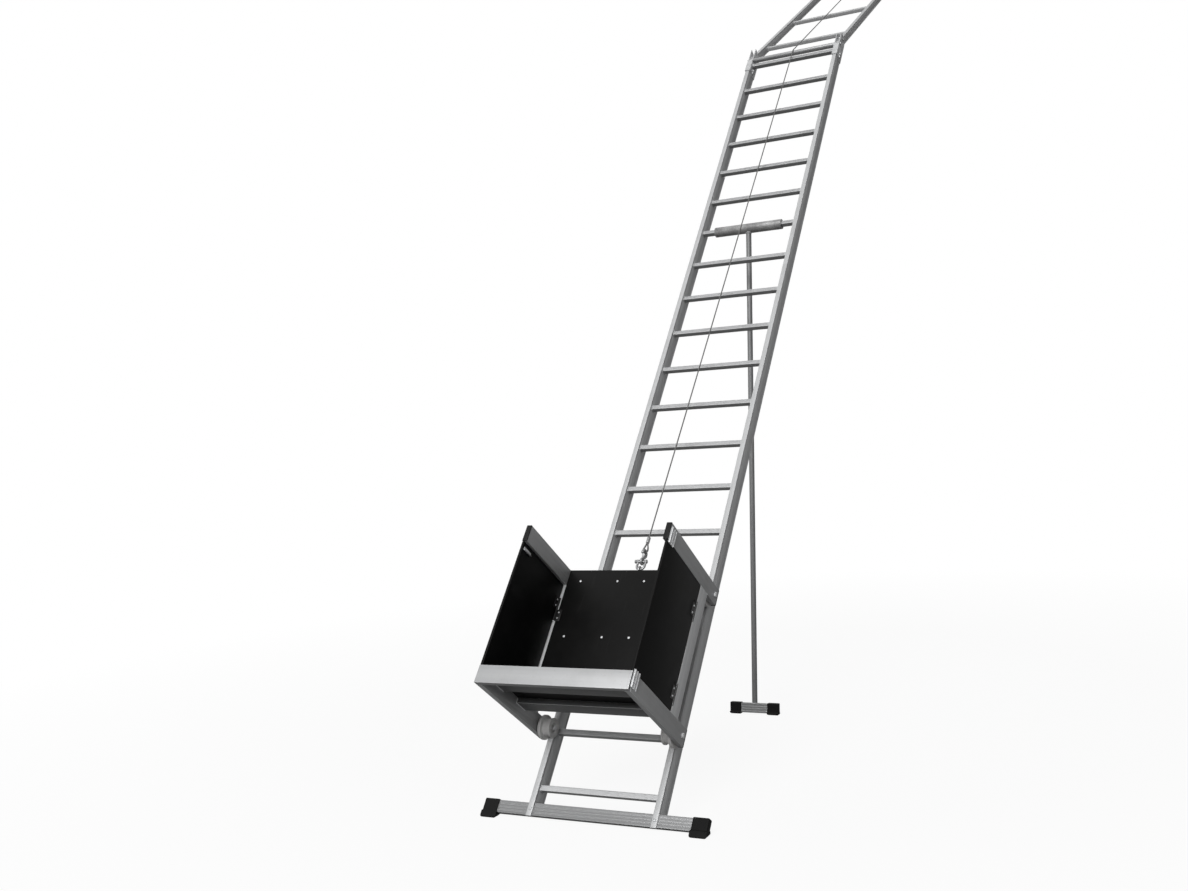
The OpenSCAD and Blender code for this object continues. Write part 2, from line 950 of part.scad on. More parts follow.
// The gear motor is flanged to the right bearing
module winch_motor() {
    motor_x = upper_x - bearing_t - motor_len;
    color(steel) on_upper() translate([0, drum_run, drum_b]) difference() {
        x_rod(motor_x, motor_len, motor_dia / 2);
        x_rod(motor_x + motor_wall, motor_len - 2 * motor_wall, motor_dia / 2 - motor_wall);
        x_rod(motor_x - cut, motor_len + 2 * cut, shaft_dia / 2 + run_gap);
    }
}

module drum() {
    color(zinc) on_upper() translate([0, drum_run, drum_b]) difference() {
        union() {
            x_rod(-drum_in, 2 * drum_in, drum_r);
            both_sides() x_rod(drum_in, drum_flange_t, drum_flange_r);
        }
        x_rod(-2 * drum_in, 4 * drum_in, shaft_dia / 2 + fit_gap);
    }
}

module drum_shaft() {
    color(steel) on_upper() translate([0, drum_run, drum_b]) difference() {
        x_rod(-upper_x, 2 * upper_x, shaft_dia / 2);
        x_rod(-upper_x - cut, 2 * upper_x + 2 * cut, shaft_dia / 2 - shaft_wall);
    }
}

// Rope gear
module rope_lug() {
    color(zinc) on_ladder() difference() {
        union() {
            side_plate(-lug_t / 2, lug_t) {
                translate([lug_s, lug_v]) circle(lug_r);
                translate([lug_s - lug_tail, lug_v - lug_r])
                    square([lug_tail, rail_back - lug_v + lug_r]);
            }
        }
        translate([0, lug_s, lug_v]) x_rod(-lug_t, 2 * lug_t, lug_bore / 2);
    }
}

// The bow hangs in the lug's bore and its two eyes take the pin
module shackle() {
    color(zinc) on_rope() difference() {
        union() {
            translate([0, 0, bow_r]) rotate([90, 180, 0])
                rotate_extrude(angle = 180) translate([bow_r, 0]) circle(bow_rod);
            both_sides() translate([bow_r, 0, bow_r]) cylinder(h = pin_at - bow_r, r = bow_rod);
            both_sides() translate([0, 0, pin_at])
                x_rod(bow_r - bow_eye_t / 2, bow_eye_t, bow_eye_r);
        }
        translate([0, 0, pin_at]) x_rod(-2 * bow_r, 4 * bow_r, shackle_pin_r + fit_gap);
    }
}

module shackle_pin() {
    half = bow_r + bow_eye_t / 2 + pin_over;
    color(zinc) on_rope() translate([0, 0, pin_at]) {
        x_rod(-half, 2 * half, shackle_pin_r);
        x_rod(-half - pin_head_t, pin_head_t, pin_head_r);
    }
}

// An eye hook that stands on the shackle's pin and opens to the front
module hook() {
    color(zinc) on_rope() {
        translate([0, 0, hook_eye_at]) rotate([0, 90, 0])
            rotate_extrude() translate([hook_eye_r, 0]) circle(hook_eye_rod);
        translate([0, 0, hook_eye_at + hook_eye_r])
            cylinder(h = hook_shank, r = hook_rod);
        translate([0, 0, hook_bowl_at]) rotate([0, 90, 0])
            rotate_extrude(angle = hook_sweep) translate([hook_bowl_r, 0]) circle(hook_rod);
    }
}

// The rope's eye on its thimble, and the ferrule that closes it
module thimble() {
    leg_r = thimble_r;
    leg_run = thimble_len - thimble_r;
    leg_len = norm([leg_r, leg_run]);
    color(zinc) on_rope() translate([0, 0, thimble_at]) {
        translate([0, 0, thimble_r]) rotate([90, 180, 0])
            rotate_extrude(angle = 180) translate([thimble_r, 0]) circle(thimble_rod);
        both_sides() translate([leg_r, 0, thimble_r]) rotate([0, -atan2(leg_r, leg_run), 0])
            cylinder(h = leg_len, r = thimble_rod);
        translate([0, 0, thimble_len]) cylinder(h = ferrule_len, r = ferrule_r);
    }
}

// Ropes: a tube swept along points, with rings square to the path
function unit(v) = v / norm(v);
function ahead(p, i) = unit(p[min(i + 1, len(p) - 1)] - p[max(i - 1, 0)]);
function ring(at, way, r, sides) =
    let (side = unit(cross(way, [1, 0, 0])), up = cross(side, way))
    [for (k = [0 : sides - 1]) at + r * (cos(360 * k / sides) * side + sin(360 * k / sides) * up)];
function skin(rings, sides) = [
    for (i = [0 : rings - 2]) for (k = [0 : sides - 1])
        let (a = i * sides + k, b = i * sides + (k + 1) % sides)
        each [[a, b, a + sides], [b, b + sides, a + sides]]
];
function lid(first, sides, flip) = [
    for (k = [1 : sides - 2])
        flip ? [first, first + k + 1, first + k] : [first, first + k, first + k + 1]
];

module rope_tube(points, ways, r, sides) {
    rings = len(points);
    polyhedron(
        points = [for (i = [0 : rings - 1]) each ring(points[i], ways[i], r, sides)],
        faces = concat(
            skin(rings, sides),
            lid(0, sides, true),
            lid((rings - 1) * sides, sides, false)
        )
    );
}

rope_sides = 8;
run_rings = 20;
arc_rings = 4;

// The lower run and its bend over the knee roller, in the ladder frame
lower_points = concat(
    [
        for (i = [0 : run_rings - 1])
            let (t = rope_start + (tangent_run - rope_start) * i / run_rings)
            [0, lug_s + t * cos(rope_angle), lug_v + t * sin(rope_angle)]
    ],
    [
        for (i = [0 : arc_rings])
            let (a = rope_angle + (-knee_bend - rope_angle) * i / arc_rings)
            [0, knee_s - knee_path * sin(a), knee_v + knee_path * cos(a)]
    ]
);
lower_ways = concat(
    [for (i = [0 : run_rings - 1]) [0, cos(rope_angle), sin(rope_angle)]],
    [
        for (i = [0 : arc_rings])
            let (a = rope_angle + (-knee_bend - rope_angle) * i / arc_rings)
            [0, cos(a), sin(a)]
    ]
);

module rope_lower() {
    color(steel) on_ladder() rope_tube(lower_points, lower_ways, rope_r, rope_sides);
}

// The upper run and its way round the drum, in the frame of the upper section
loop_rings = 24;
wrap_share = 0.8;
wrap_rings = 20;
function on_drum(turn) = [
    -wind_pitch * turn,
    drum_run + drum_path * sin(360 * turn),
    drum_b + drum_path * cos(360 * turn)
];
function round_drum(turn) = unit([
    -wind_pitch / (2 * PI * drum_path), cos(360 * turn), -sin(360 * turn)
]);
upper_points = concat(
    [for (i = [0 : run_rings - 1]) [0, run_gap + (drum_run - run_gap) * i / run_rings, knee_path]],
    [
        for (i = [0 : wrap_rings])
            let (a = 360 * wrap_share * i / wrap_rings)
            [0, drum_run + drum_path * sin(a), drum_b + drum_path * cos(a)]
    ]
);
upper_ways = concat(
    [for (i = [0 : run_rings - 1]) [0, 1, 0]],
    [
        for (i = [0 : wrap_rings])
            let (a = 360 * wrap_share * i / wrap_rings)
            [0, cos(a), -sin(a)]
    ]
);

module rope_upper() {
    color(steel) on_upper() rope_tube(upper_points, upper_ways, rope_r, rope_sides);
}

// The winding: loops side by side, the last end turned into the left flange
wind_sides = 6;
wind_rings = wind_turns * loop_rings;
bend_rings = 6;
wind_last = on_drum(1 + wind_turns);
wind_way = round_drum(1 + wind_turns);
loop_points = [for (i = [0 : wind_rings]) on_drum(1 + i / loop_rings)];
anchor_points = [
    for (i = [1 : bend_rings])
        let (a = 90 * i / bend_rings)
        wind_last + anchor_r * (sin(a) * wind_way + (1 - cos(a)) * [-1, 0, 0])
];
anchor_end = [-drum_in, anchor_points[bend_rings - 1].y, anchor_points[bend_rings - 1].z];
wind_points = concat(loop_points, anchor_points, [anchor_end]);

// Rings of the winding use the drum's own radius, so that they may turn along x
function wind_ring(i) =
    let (
        at = wind_points[i],
        way = ahead(wind_points, i),
        out = unit([0, at.y - drum_run, at.z - drum_b]),
        side = unit(cross(way, out)),
        up = cross(side, way)
    )
    [
        for (k = [0 : wind_sides - 1])
            at + rope_r * (cos(360 * k / wind_sides) * side + sin(360 * k / wind_sides) * up)
    ];

half_loop = loop_rings / 2;
function least_gap(p) = min([
    for (i = [0 : half_loop : len(p) - 1])
        for (k = [i + half_loop : len(p) - 1]) norm(p[k] - p[i]) - rope_dia
]);

module rope_winding() {
    rings = len(wind_points);
    echo("Least gap of the winding to itself", least_gap(wind_points));
    color(steel) on_upper() polyhedron(
        points = [for (i = [0 : rings - 1]) each wind_ring(i)],
        faces = concat(
            skin(rings, wind_sides),
            lid(0, wind_sides, true),
            lid((rings - 1) * wind_sides, wind_sides, false)
        )
    );
}

left_stile();
right_stile();
rungs();
prop_rung();
stabiliser_bar();
left_stabiliser_cap();
right_stabiliser_cap();
ladder_bolts();
left_knee_plates();
right_knee_plates();
knee_axle();
knee_crossbar();
rope_lower();
left_top_arm();
right_top_arm();
left_bottom_arm();
right_bottom_arm();
front_bar();
left_post();
right_post();
carriage_rails();
floor_panel();
back_panel();
panel_bolts();
arm_plugs();
wing_stops();
roller_axles();
post_hinge_leaves();
hinge_pins();
rope_lug();
shackle();
shackle_pin();
hook();
thimble();
left_top_roller();
right_top_roller();
left_bottom_roller();
right_bottom_roller();
left_wing_panel();
left_wing_leaves();
left_wing_tab();
right_wing_panel();
right_wing_leaves();
right_wing_tab();
prop_sleeve();
prop_tube();
prop_foot_bar();
prop_foot_caps();
knee_roller();
left_upper_stile();
right_upper_stile();
upper_rungs();
knee_lock_bolts();
winch_bearings();
winch_motor();
rope_upper();
drum();
drum_shaft();
rope_winding();
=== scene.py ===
import json
import math

import bpy
from mathutils import Matrix, Vector

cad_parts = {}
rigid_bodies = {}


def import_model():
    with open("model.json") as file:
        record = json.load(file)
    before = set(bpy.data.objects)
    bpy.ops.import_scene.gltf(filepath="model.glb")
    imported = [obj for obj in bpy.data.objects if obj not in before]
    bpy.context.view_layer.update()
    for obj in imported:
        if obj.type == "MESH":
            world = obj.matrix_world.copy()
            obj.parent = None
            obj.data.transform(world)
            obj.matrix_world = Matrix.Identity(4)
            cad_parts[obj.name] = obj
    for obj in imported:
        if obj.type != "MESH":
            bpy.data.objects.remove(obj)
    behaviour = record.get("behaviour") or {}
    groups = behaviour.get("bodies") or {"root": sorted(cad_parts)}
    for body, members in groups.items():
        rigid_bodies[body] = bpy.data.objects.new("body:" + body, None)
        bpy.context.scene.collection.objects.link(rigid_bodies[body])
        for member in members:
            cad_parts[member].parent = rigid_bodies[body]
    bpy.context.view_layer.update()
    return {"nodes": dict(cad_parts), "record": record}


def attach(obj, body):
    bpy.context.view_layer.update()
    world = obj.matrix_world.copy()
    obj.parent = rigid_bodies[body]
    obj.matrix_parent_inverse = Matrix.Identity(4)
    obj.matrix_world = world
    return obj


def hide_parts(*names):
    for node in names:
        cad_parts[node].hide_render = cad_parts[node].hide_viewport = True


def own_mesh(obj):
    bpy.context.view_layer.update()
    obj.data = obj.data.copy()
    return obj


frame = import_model()
nodes = frame["nodes"]
bodyOf = {n: b for b, members in frame["record"]["behaviour"]["bodies"].items() for n in members}
scene = bpy.context.scene
scene.view_settings.view_transform = "Standard"
print("frame loaded:", len(nodes), "nodes")

hoist = {  # where the ladder, its knee and its upper section lie, metres and degrees
    "lean": 52.0,
    "footBack": 2.537851,
    "footLift": 0.007213,
    "kneeUp": 5.531,
    "kneeOut": -0.014,
    "kneeBend": 21.0,
    "propLean": -6.0,
    "propPivot": (0, 3.801, -0.030),  # in the ladder's frame: across, up and out of it
    "lug": (0, 1.234, 0.150),
    "ropeFall": 1.9285,  # how far the lower rope leans in towards the ladder
    "drumAway": 2.050,  # the drum, up the upper section from the knee
    "stileFaces": (0.305, 0.332),  # inner and outer, from the middle
    "upperFaces": (0.3053, 0.3317),
}


def tipped(degrees):
    return Matrix.Rotation(math.radians(degrees), 4, "X")


onLadder = Matrix.Translation((0, -hoist["footBack"], hoist["footLift"])) @ tipped(hoist["lean"])
onUpper = (onLadder @ Matrix.Translation((0, hoist["kneeUp"], hoist["kneeOut"]))
           @ tipped(-hoist["kneeBend"]))
onProp = Matrix.Translation(onLadder @ Vector(hoist["propPivot"])) @ tipped(hoist["propLean"])
onRope = (onLadder @ Matrix.Translation(hoist["lug"])
          @ tipped(-hoist["ropeFall"] - 90))  # z up the rope from its lug
upLadder = onLadder.to_3x3() @ Vector((0, 1, 0))

# camera

cameraSet = {
    "place": (2.5244, -6.7354, 1.6862),
    "yaw": -23.405,
    "pitch": -3.61,
    "roll": -3.07,
    "lens": 33.80,
    "sensor": 36.0,
    "shift": (-0.1036, 0.0545),
    "clipEnd": 200,
}


def addCamera(s):
    yaw, pitch, roll = (math.radians(s[k]) for k in ("yaw", "pitch", "roll"))
    level = Vector((math.cos(yaw), -math.sin(yaw), 0))
    ahead = Vector((math.sin(yaw) * math.cos(pitch), math.cos(yaw) * math.cos(pitch), math.sin(pitch)))
    top = level.cross(ahead)
    right = math.cos(roll) * level + math.sin(roll) * top
    up = -math.sin(roll) * level + math.cos(roll) * top
    turn = Matrix((right, up, -ahead)).transposed().to_4x4()
    bpy.ops.object.camera_add()
    camera = bpy.context.object
    camera.matrix_world = Matrix.Translation(s["place"]) @ turn
    camera.data.sensor_width = s["sensor"]
    camera.data.lens = s["lens"]
    camera.data.shift_x, camera.data.shift_y = s["shift"]
    camera.data.clip_end = s["clipEnd"]
    scene.camera = camera


addCamera(cameraSet)
print("camera set")


# small helpers for working as by hand

def deselect():
    bpy.ops.object.select_all(action="DESELECT")


def pick(piece):
    deselect()
    piece.select_set(True)
    bpy.context.view_layer.objects.active = piece


def editing(piece):
    pick(piece)
    bpy.ops.object.mode_set(mode="EDIT")


def doneEditing():
    bpy.ops.object.mode_set(mode="OBJECT")


def modify(piece, kind, **settings):
    pick(piece)
    modifier = piece.modifiers.new(kind.lower(), kind)
    for key, value in settings.items():
        setattr(modifier, key, value)
    bpy.ops.object.modifier_apply(modifier=modifier.name)


def applyPlace(piece, matrix):
    pick(piece)
    piece.matrix_world = matrix @ piece.matrix_world
    bpy.ops.object.transform_apply(location=True, rotation=True, scale=True)


def smoothBy(piece, degrees):
    pick(piece)
    bpy.ops.object.shade_smooth_by_angle(angle=math.radians(degrees))


def wear(piece, *finishes):
    piece.data.materials.clear()
    for finish in finishes:
        piece.data.materials.append(finish)


def joined(pieces):
    deselect()
    for piece in pieces:
        piece.select_set(True)
    bpy.context.view_layer.objects.active = pieces[0]
    bpy.ops.object.join()
    return bpy.context.object


def copies(model, places):  # one copy of a model at each place, all in one piece
    made = []
    for place in places:
        pick(model)
        bpy.ops.object.duplicate()
        made.append(bpy.context.object)
        applyPlace(made[-1], place)
    bpy.data.objects.remove(model)
    return joined(made)


def finished(piece, name, body, finish):
    piece.name = name
    wear(piece, finish)
    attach(piece, body)


facing = 0.9  # a normal this far along an axis faces that way


def chosen(piece, test, within=Matrix()):  # selects the faces whose middle and normal pass a test
    inward = within.inverted()
    turn = inward.to_3x3()
    editing(piece)
    bpy.ops.mesh.select_mode(type="FACE")
    bpy.ops.mesh.select_all(action="DESELECT")
    doneEditing()
    for face in piece.data.polygons:
        face.select = bool(test(inward @ face.center, turn @ face.normal))
    bpy.ops.object.mode_set(mode="EDIT")


def lifted(tall):  # pulls the chosen faces out along z
    bpy.ops.mesh.extrude_region_move(TRANSFORM_OT_translate={"value": (0, 0, tall)})


def sunk(deep):  # presses the chosen faces in
    bpy.ops.mesh.extrude_region_shrink_fatten(TRANSFORM_OT_shrink_fatten={"value": -deep})
    doneEditing()


def sliced(piece, within, axis, places):  # straight cuts across a piece
    editing(piece)
    way = Vector([float(i == axis) for i in range(3)])
    for place in places:
        bpy.ops.mesh.select_all(action="SELECT")
        bpy.ops.mesh.bisect(plane_co=within @ (way * place), plane_no=within.to_3x3() @ way)
    doneEditing()


def rounded(piece, width, steps=2):
    modify(piece, "BEVEL", width=width, segments=steps, limit_method="ANGLE")


def block(size, place=Matrix()):
    deselect()
    bpy.ops.mesh.primitive_cube_add(size=1)
    made = bpy.context.object
    made.dimensions = size
    applyPlace(made, place)
    return made


def rod(radius, tall, sides):  # on z, from 0 up
    deselect()
    bpy.ops.mesh.primitive_cylinder_add(vertices=sides, radius=radius, depth=tall,
                                        location=(0, 0, tall / 2))
    made = bpy.context.object
    applyPlace(made, Matrix())
    return made


def turned(axis):  # z laid along another axis
    return Vector(axis).to_track_quat("Z", "Y").to_matrix().to_4x4()


def nameOf(node):  # left_top_arm becomes leftTopArm
    first, *rest = node.split("_")
    return first + "".join(w.capitalize() for w in rest)


def standsFor(piece, node, finish):  # a new piece takes the place of a solid
    finished(piece, nameOf(node), bodyOf[node], finish)
    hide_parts(node)


# shader maths

class Wire:  # a socket that takes part in sums
    def __init__(self, sheet, socket):
        self.sheet, self.socket = sheet, socket

    def maths(self, operation, other):
        return self.sheet.node("Math", {"operation": operation}, [self, other])

    def __add__(self, other):
        return self.maths("ADD", other)

    def __sub__(self, other):
        return self.maths("SUBTRACT", other)

    def __rsub__(self, other):
        return self.sheet.node("Math", {"operation": "SUBTRACT"}, [other, self])

    def __mul__(self, other):
        return self.maths("MULTIPLY", other)

    __radd__ = __add__
    __rmul__ = __mul__

    def most(self, other):
        return self.maths("MAXIMUM", other)

    def inRange(self, low, high):  # 0 below low, 1 above high
        return self.sheet.node("MapRange", {"clamp": True}, {0: self, 1: low, 2: high, 3: 0.0, 4: 1.0})


class Sheet:  # the node tree of one finish
    def __init__(self, tree):
        self.tree = tree
        tree.nodes.clear()

    def node(self, kind, settings=None, sockets=(), out=0):
        made = self.tree.nodes.new("ShaderNode" + kind)
        for key, value in (settings or {}).items():
            setattr(made, key, value)
        pairs = sockets.items() if isinstance(sockets, dict) else enumerate(sockets)
        for key, value in pairs:
            if isinstance(value, Wire):
                self.tree.links.new(value.socket, made.inputs[key])
            else:
                made.inputs[key].default_value = value
        return Wire(self, made.outputs[out]) if len(made.outputs) else None

    def place(self):
        return self.node("TexCoord", out="Object")

    def mapped(self, degrees, size):  # a frame tipped about x, sized per axis
        return self.node("Mapping", {"vector_type": "TEXTURE"}, {
            "Vector": self.place(), "Rotation": (math.radians(degrees), 0, 0), "Scale": size})

    def noise(self, vector, scale=1.0, detail=2.0, rough=0.5):
        return self.node("TexNoise", sockets={
            "Vector": vector, "Scale": scale, "Detail": detail, "Roughness": rough})

    def mix(self, share, low, high):  # colours
        return self.node("Mix", {"data_type": "RGBA"}, {0: share, 6: low, 7: high}, out=2)


def grey(value, warm=0.0):
    return (value * (1 + warm), value, value * (1 - warm), 1)


def newFinish(name):
    finish = bpy.data.materials.new(name)
    finish.use_nodes = True
    return finish, Sheet(finish.node_tree)


def shade(sheet, colour, roughness, metallic, height, relief, shine=0.5):
    strength, distance = relief
    bump = sheet.node("Bump", sockets={"Height": height, "Strength": strength, "Distance": distance})
    surface = sheet.node("BsdfPrincipled", sockets={
        "Base Color": colour, "Roughness": roughness, "Metallic": metallic,
        "Specular IOR Level": shine, "Normal": bump})
    sheet.node("OutputMaterial", sockets={"Surface": surface})


aluminiumSet = {
    "light": grey(0.66, -0.008),
    "dark": grey(0.53, -0.012),
    "grime": grey(0.24, 0.01),
    "metallic": 0.42,
    "streak": 0.0017,  # width of a drawing line
    "streakLength": 0.30,
    "wideStreak": 9,  # times the size of a drawing line
    "blotch": 7.0,
    "spots": 90.0, "spotRange": (0.62, 0.80),
    "lookShares": (0.32, 0.46, 0.22),  # of lines, wide streaks and patches
    "lookRange": (0.26, 0.74),
    "grimeRange": (0.52, 0.80), "grimeShare": 0.25, "spotShare": 0.18,
    "rough": 0.44, "roughLines": 0.10, "roughPatches": 0.12,
    "spotRelief": 0.4, "relief": (0.16, 0.0005),
}


def aluminiumFinish(name, degrees, along, tone=1.0, polish=0.0, s=aluminiumSet):
    finish, sheet = newFinish(name)
    size = [s["streak"]] * 3
    size[along] = s["streakLength"]
    lines = sheet.noise(sheet.mapped(degrees, size), detail=3.0, rough=0.6)
    wide = sheet.noise(sheet.mapped(degrees, [k * s["wideStreak"] for k in size]))
    patches = sheet.noise(sheet.place(), s["blotch"], detail=4.0, rough=0.6)
    spots = sheet.noise(sheet.place(), s["spots"]).inRange(*s["spotRange"])
    lineShare, wideShare, patchShare = s["lookShares"]
    look = lines * lineShare + wide * wideShare + patches * patchShare
    dark, light = ([c * tone for c in s[k][:3]] + [1] for k in ("dark", "light"))
    colour = sheet.mix(look.inRange(*s["lookRange"]), dark, light)
    soiled = patches.inRange(*s["grimeRange"]) * s["grimeShare"] + spots * s["spotShare"]
    rough = s["rough"] - polish + lines * s["roughLines"] + patches * s["roughPatches"]
    shade(sheet, sheet.mix(soiled, colour, s["grime"]), rough, s["metallic"],
          lines + spots * s["spotRelief"], s["relief"])
    return finish


# name, lean of the frame it was drawn in, axis it was drawn along
stileAlloy = aluminiumFinish("stileAlloy", hoist["lean"], 1, tone=0.96)
postAlloy = aluminiumFinish("postAlloy", hoist["lean"], 1, tone=1.16)
rungAlloy = aluminiumFinish("rungAlloy", hoist["lean"], 0, tone=1.02)
# painted shade: a darker copy of the alloy for faces that look down the ladder
underShadeAlloy = aluminiumFinish("underShadeAlloy", hoist["lean"], 0, tone=0.56)
barAlloy = aluminiumFinish("barAlloy", hoist["lean"], 0, tone=0.45)
frontAlloy = aluminiumFinish("frontAlloy", hoist["lean"], 0, tone=0.88)
# painted shade: a much darker copy of the alloy for the rails under the floor panel and front bar
railShadeAlloy = aluminiumFinish("railShadeAlloy", hoist["lean"], 0, tone=0.27)
shadedAlloy = aluminiumFinish("shadedAlloy", hoist["lean"], 0, tone=0.14)
armAlloy = aluminiumFinish("armAlloy", hoist["lean"], 2, tone=0.74)
upperAlloy = aluminiumFinish("upperAlloy", hoist["lean"] - hoist["kneeBend"], 1, tone=0.86)
propAlloy = aluminiumFinish("propAlloy", hoist["propLean"], 2, tone=0.42)
# painted highlight: a lighter, smoother copy of the alloy on bevelled edges and weld beads
edgeHighlightAlloy = aluminiumFinish("edgeHighlightAlloy", hoist["lean"], 1, tone=1.15, polish=0.10)

plateSet = {"broad": 9.0, "lookRange": (0.36, 0.64), "roughShare": 0.14, "reliefDepth": 0.0006}


def plateFinish(name, light, dark, metallic, rough, grain, relief=0.25, shine=0.5, s=plateSet):
    finish, sheet = newFinish(name)
    fine = sheet.noise(sheet.place(), grain, detail=4.0, rough=0.6)
    broad = sheet.noise(sheet.place(), s["broad"], detail=3.0)
    look = (fine * 0.5 + broad * 0.5).inRange(*s["lookRange"])
    shade(sheet, sheet.mix(look, dark, light), rough + fine * s["roughShare"], metallic, fine,
          (relief, s["reliefDepth"]), shine)
    return finish


# name, light, dark, metallic, rough, grain, relief
zinc = plateFinish("zinc", grey(0.86, -0.01), grey(0.58, -0.02), 0.35, 0.30, 45.0)
machined = plateFinish("machinedAlloy", grey(0.72, -0.008), grey(0.52, -0.01), 0.4, 0.32, 120.0)
gearZinc = plateFinish("gearZinc", grey(0.50, -0.01), grey(0.26, -0.01), 0.55, 0.30, 90.0)
tubeAlloy = plateFinish("tubeAlloy", grey(0.44, -0.01), grey(0.31, -0.01), 0.4, 0.38, 120.0)
kneeZinc = plateFinish("kneeZinc", grey(0.78, -0.01), grey(0.54, -0.01), 0.15, 0.38, 70.0)
# painted light: a lighter copy of the knee zinc for the wing stops and roller axles on the shaded side
paintedLightZinc = plateFinish("paintedLightZinc", grey(0.90, -0.01), grey(0.66, -0.01), 0.15, 0.38, 70.0)
blackSteel = plateFinish("blackSteel", grey(0.022), grey(0.008), 0.1, 0.40, 80.0, shine=0.3)
darkSteel = plateFinish("darkSteel", grey(0.09), grey(0.04), 0.3, 0.40, 80.0, shine=0.4)
blackPlastic = plateFinish("blackPlastic", grey(0.012), grey(0.005), 0.0, 0.45, 260.0, 0.35, shine=0.2)
nylon = plateFinish("nylon", grey(0.80, 0.01), grey(0.66, 0.015), 0.0, 0.42, 70.0, 0.15)
casting = plateFinish("greyCasting", grey(0.24, -0.01), grey(0.16, -0.01), 0.15, 0.5, 240.0, 0.5)
ropeSteel = plateFinish("ropeSteel", grey(0.27, 0.01), grey(0.13, 0.02), 0.4, 0.40, 400.0, 0.4)
mottled = plateFinish("mottledAlloy", grey(0.52), grey(0.16), 0.25, 0.42, 130.0, 0.6)

plySet = {
    "face": grey(0.0035, 0.02),
    "scuff": grey(0.012, 0.02),
    "film": 320.0,
    "haze": 5.0, "hazeRange": (0.45, 0.75), "hazeShare": 0.5,
    "scratch": (0.012, 0.16, 0.16), "scratchRange": (0.63, 0.70),
    "scratchShare": 0.35, "scratchRelief": 0.6,
    "rough": 0.42, "roughHaze": 0.22,
    "relief": (0.18, 0.0005),
    "shine": 0.12,
}


def plyFinish(s):
    finish, sheet = newFinish("blackPly")
    film = sheet.noise(sheet.place(), s["film"])
    haze = sheet.noise(sheet.place(), s["haze"], detail=5.0, rough=0.62)
    scratch = sheet.noise(sheet.mapped(hoist["lean"], s["scratch"]), detail=3.0).inRange(*s["scratchRange"])
    share = haze.inRange(*s["hazeRange"]) * s["hazeShare"] + scratch * s["scratchShare"]
    shade(sheet, sheet.mix(share, s["face"], s["scuff"]), s["rough"] + haze * s["roughHaze"], 0.0,
          film + scratch * s["scratchRelief"], s["relief"], s["shine"])
    return finish


blackPly = plyFinish(plySet)

rubberSet = {
    "face": grey(0.004),
    "dust": grey(0.035, 0.05),
    "dustTop": 0.025,  # dust climbs this far from the ground
    "grain": 420.0,
    "cloud": 26.0,
    "lowRange": (0.4, 0.7), "lowShare": 0.6,
    "allRange": (0.6, 0.8), "allShare": 0.12,
    "rough": 0.62, "roughDust": 0.2,
    "relief": (0.3, 0.0005),
    "shine": 0.16,
}


def rubberFinish(s):
    finish, sheet = newFinish("capRubber")
    grainy = sheet.noise(sheet.place(), s["grain"], detail=3.0)
    cloud = sheet.noise(sheet.place(), s["cloud"], detail=4.0)
    height = sheet.node("SeparateXYZ", sockets=[sheet.place()], out=2)
    nearGround = 1 - height.inRange(0.0, s["dustTop"])
    dusty = (nearGround * cloud.inRange(*s["lowRange"]) * s["lowShare"]
             + cloud.inRange(*s["allRange"]) * s["allShare"])
    shade(sheet, sheet.mix(dusty, s["face"], s["dust"]), s["rough"] + dusty * s["roughDust"], 0.0,
          grainy, s["relief"], s["shine"])
    return finish


capRubber = rubberFinish(rubberSet)
print("finishes mixed:", len(bpy.data.materials))


# ropes first: stranded tubes laid along their own lines

ropeSet = {
    "thick": 0.008,
    "strands": 6, "strandSides": 4,
    "groove": 0.88,
    "lay": 0.052,
    "ringsPerLay": 8,
    "start": 1.4216, "startOut": 0.14368,  # just inside the ferrule
    "bentOver": 0.0193,  # radius of its line over the knee roller
    "drumLine": 0.0343,
    "wrapShare": 0.8,
    "pitch": 0.0086,
    "loops": 10,
    "tuck": 0.016,
    "flangeIn": 0.1186,
    "travel": 3.8,
    "merge": 0.000001,
    "runSteps": 40, "kneeSteps": 6, "wrapSteps": 32, "loopSteps": 40, "tuckSteps": 9,
}


def lengthOf(points):
    return sum((b - a).length for a, b in zip(points, points[1:]))


def strandedTube(name, length, s):
    deselect()
    sides = s["strands"] * s["strandSides"]
    bpy.ops.mesh.primitive_circle_add(vertices=sides, radius=s["thick"] / 2)
    piece = bpy.context.object
    piece.name = name
    scene.tool_settings.mesh_select_mode = (True, False, False)
    for vertex in piece.data.vertices:
        vertex.select = vertex.index % s["strandSides"] == 0
    editing(piece)
    bpy.ops.transform.resize(value=(s["groove"], s["groove"], 1))  # the grooves between strands
    doneEditing()
    turns = max(1, round(length / s["lay"]))
    modify(piece, "SCREW", axis="Z", angle=math.tau, screw_offset=length / turns, iterations=turns,
           steps=s["ringsPerLay"], render_steps=s["ringsPerLay"], use_merge_vertices=False)
    editing(piece)
    bpy.ops.mesh.select_all(action="SELECT")
    bpy.ops.mesh.remove_doubles(threshold=s["merge"])
    bpy.ops.mesh.select_all(action="DESELECT")
    bpy.ops.mesh.select_non_manifold()
    bpy.ops.mesh.fill_holes(sides=sides)
    bpy.ops.mesh.select_all(action="SELECT")
    bpy.ops.mesh.normals_make_consistent(inside=False)
    doneEditing()
    return piece


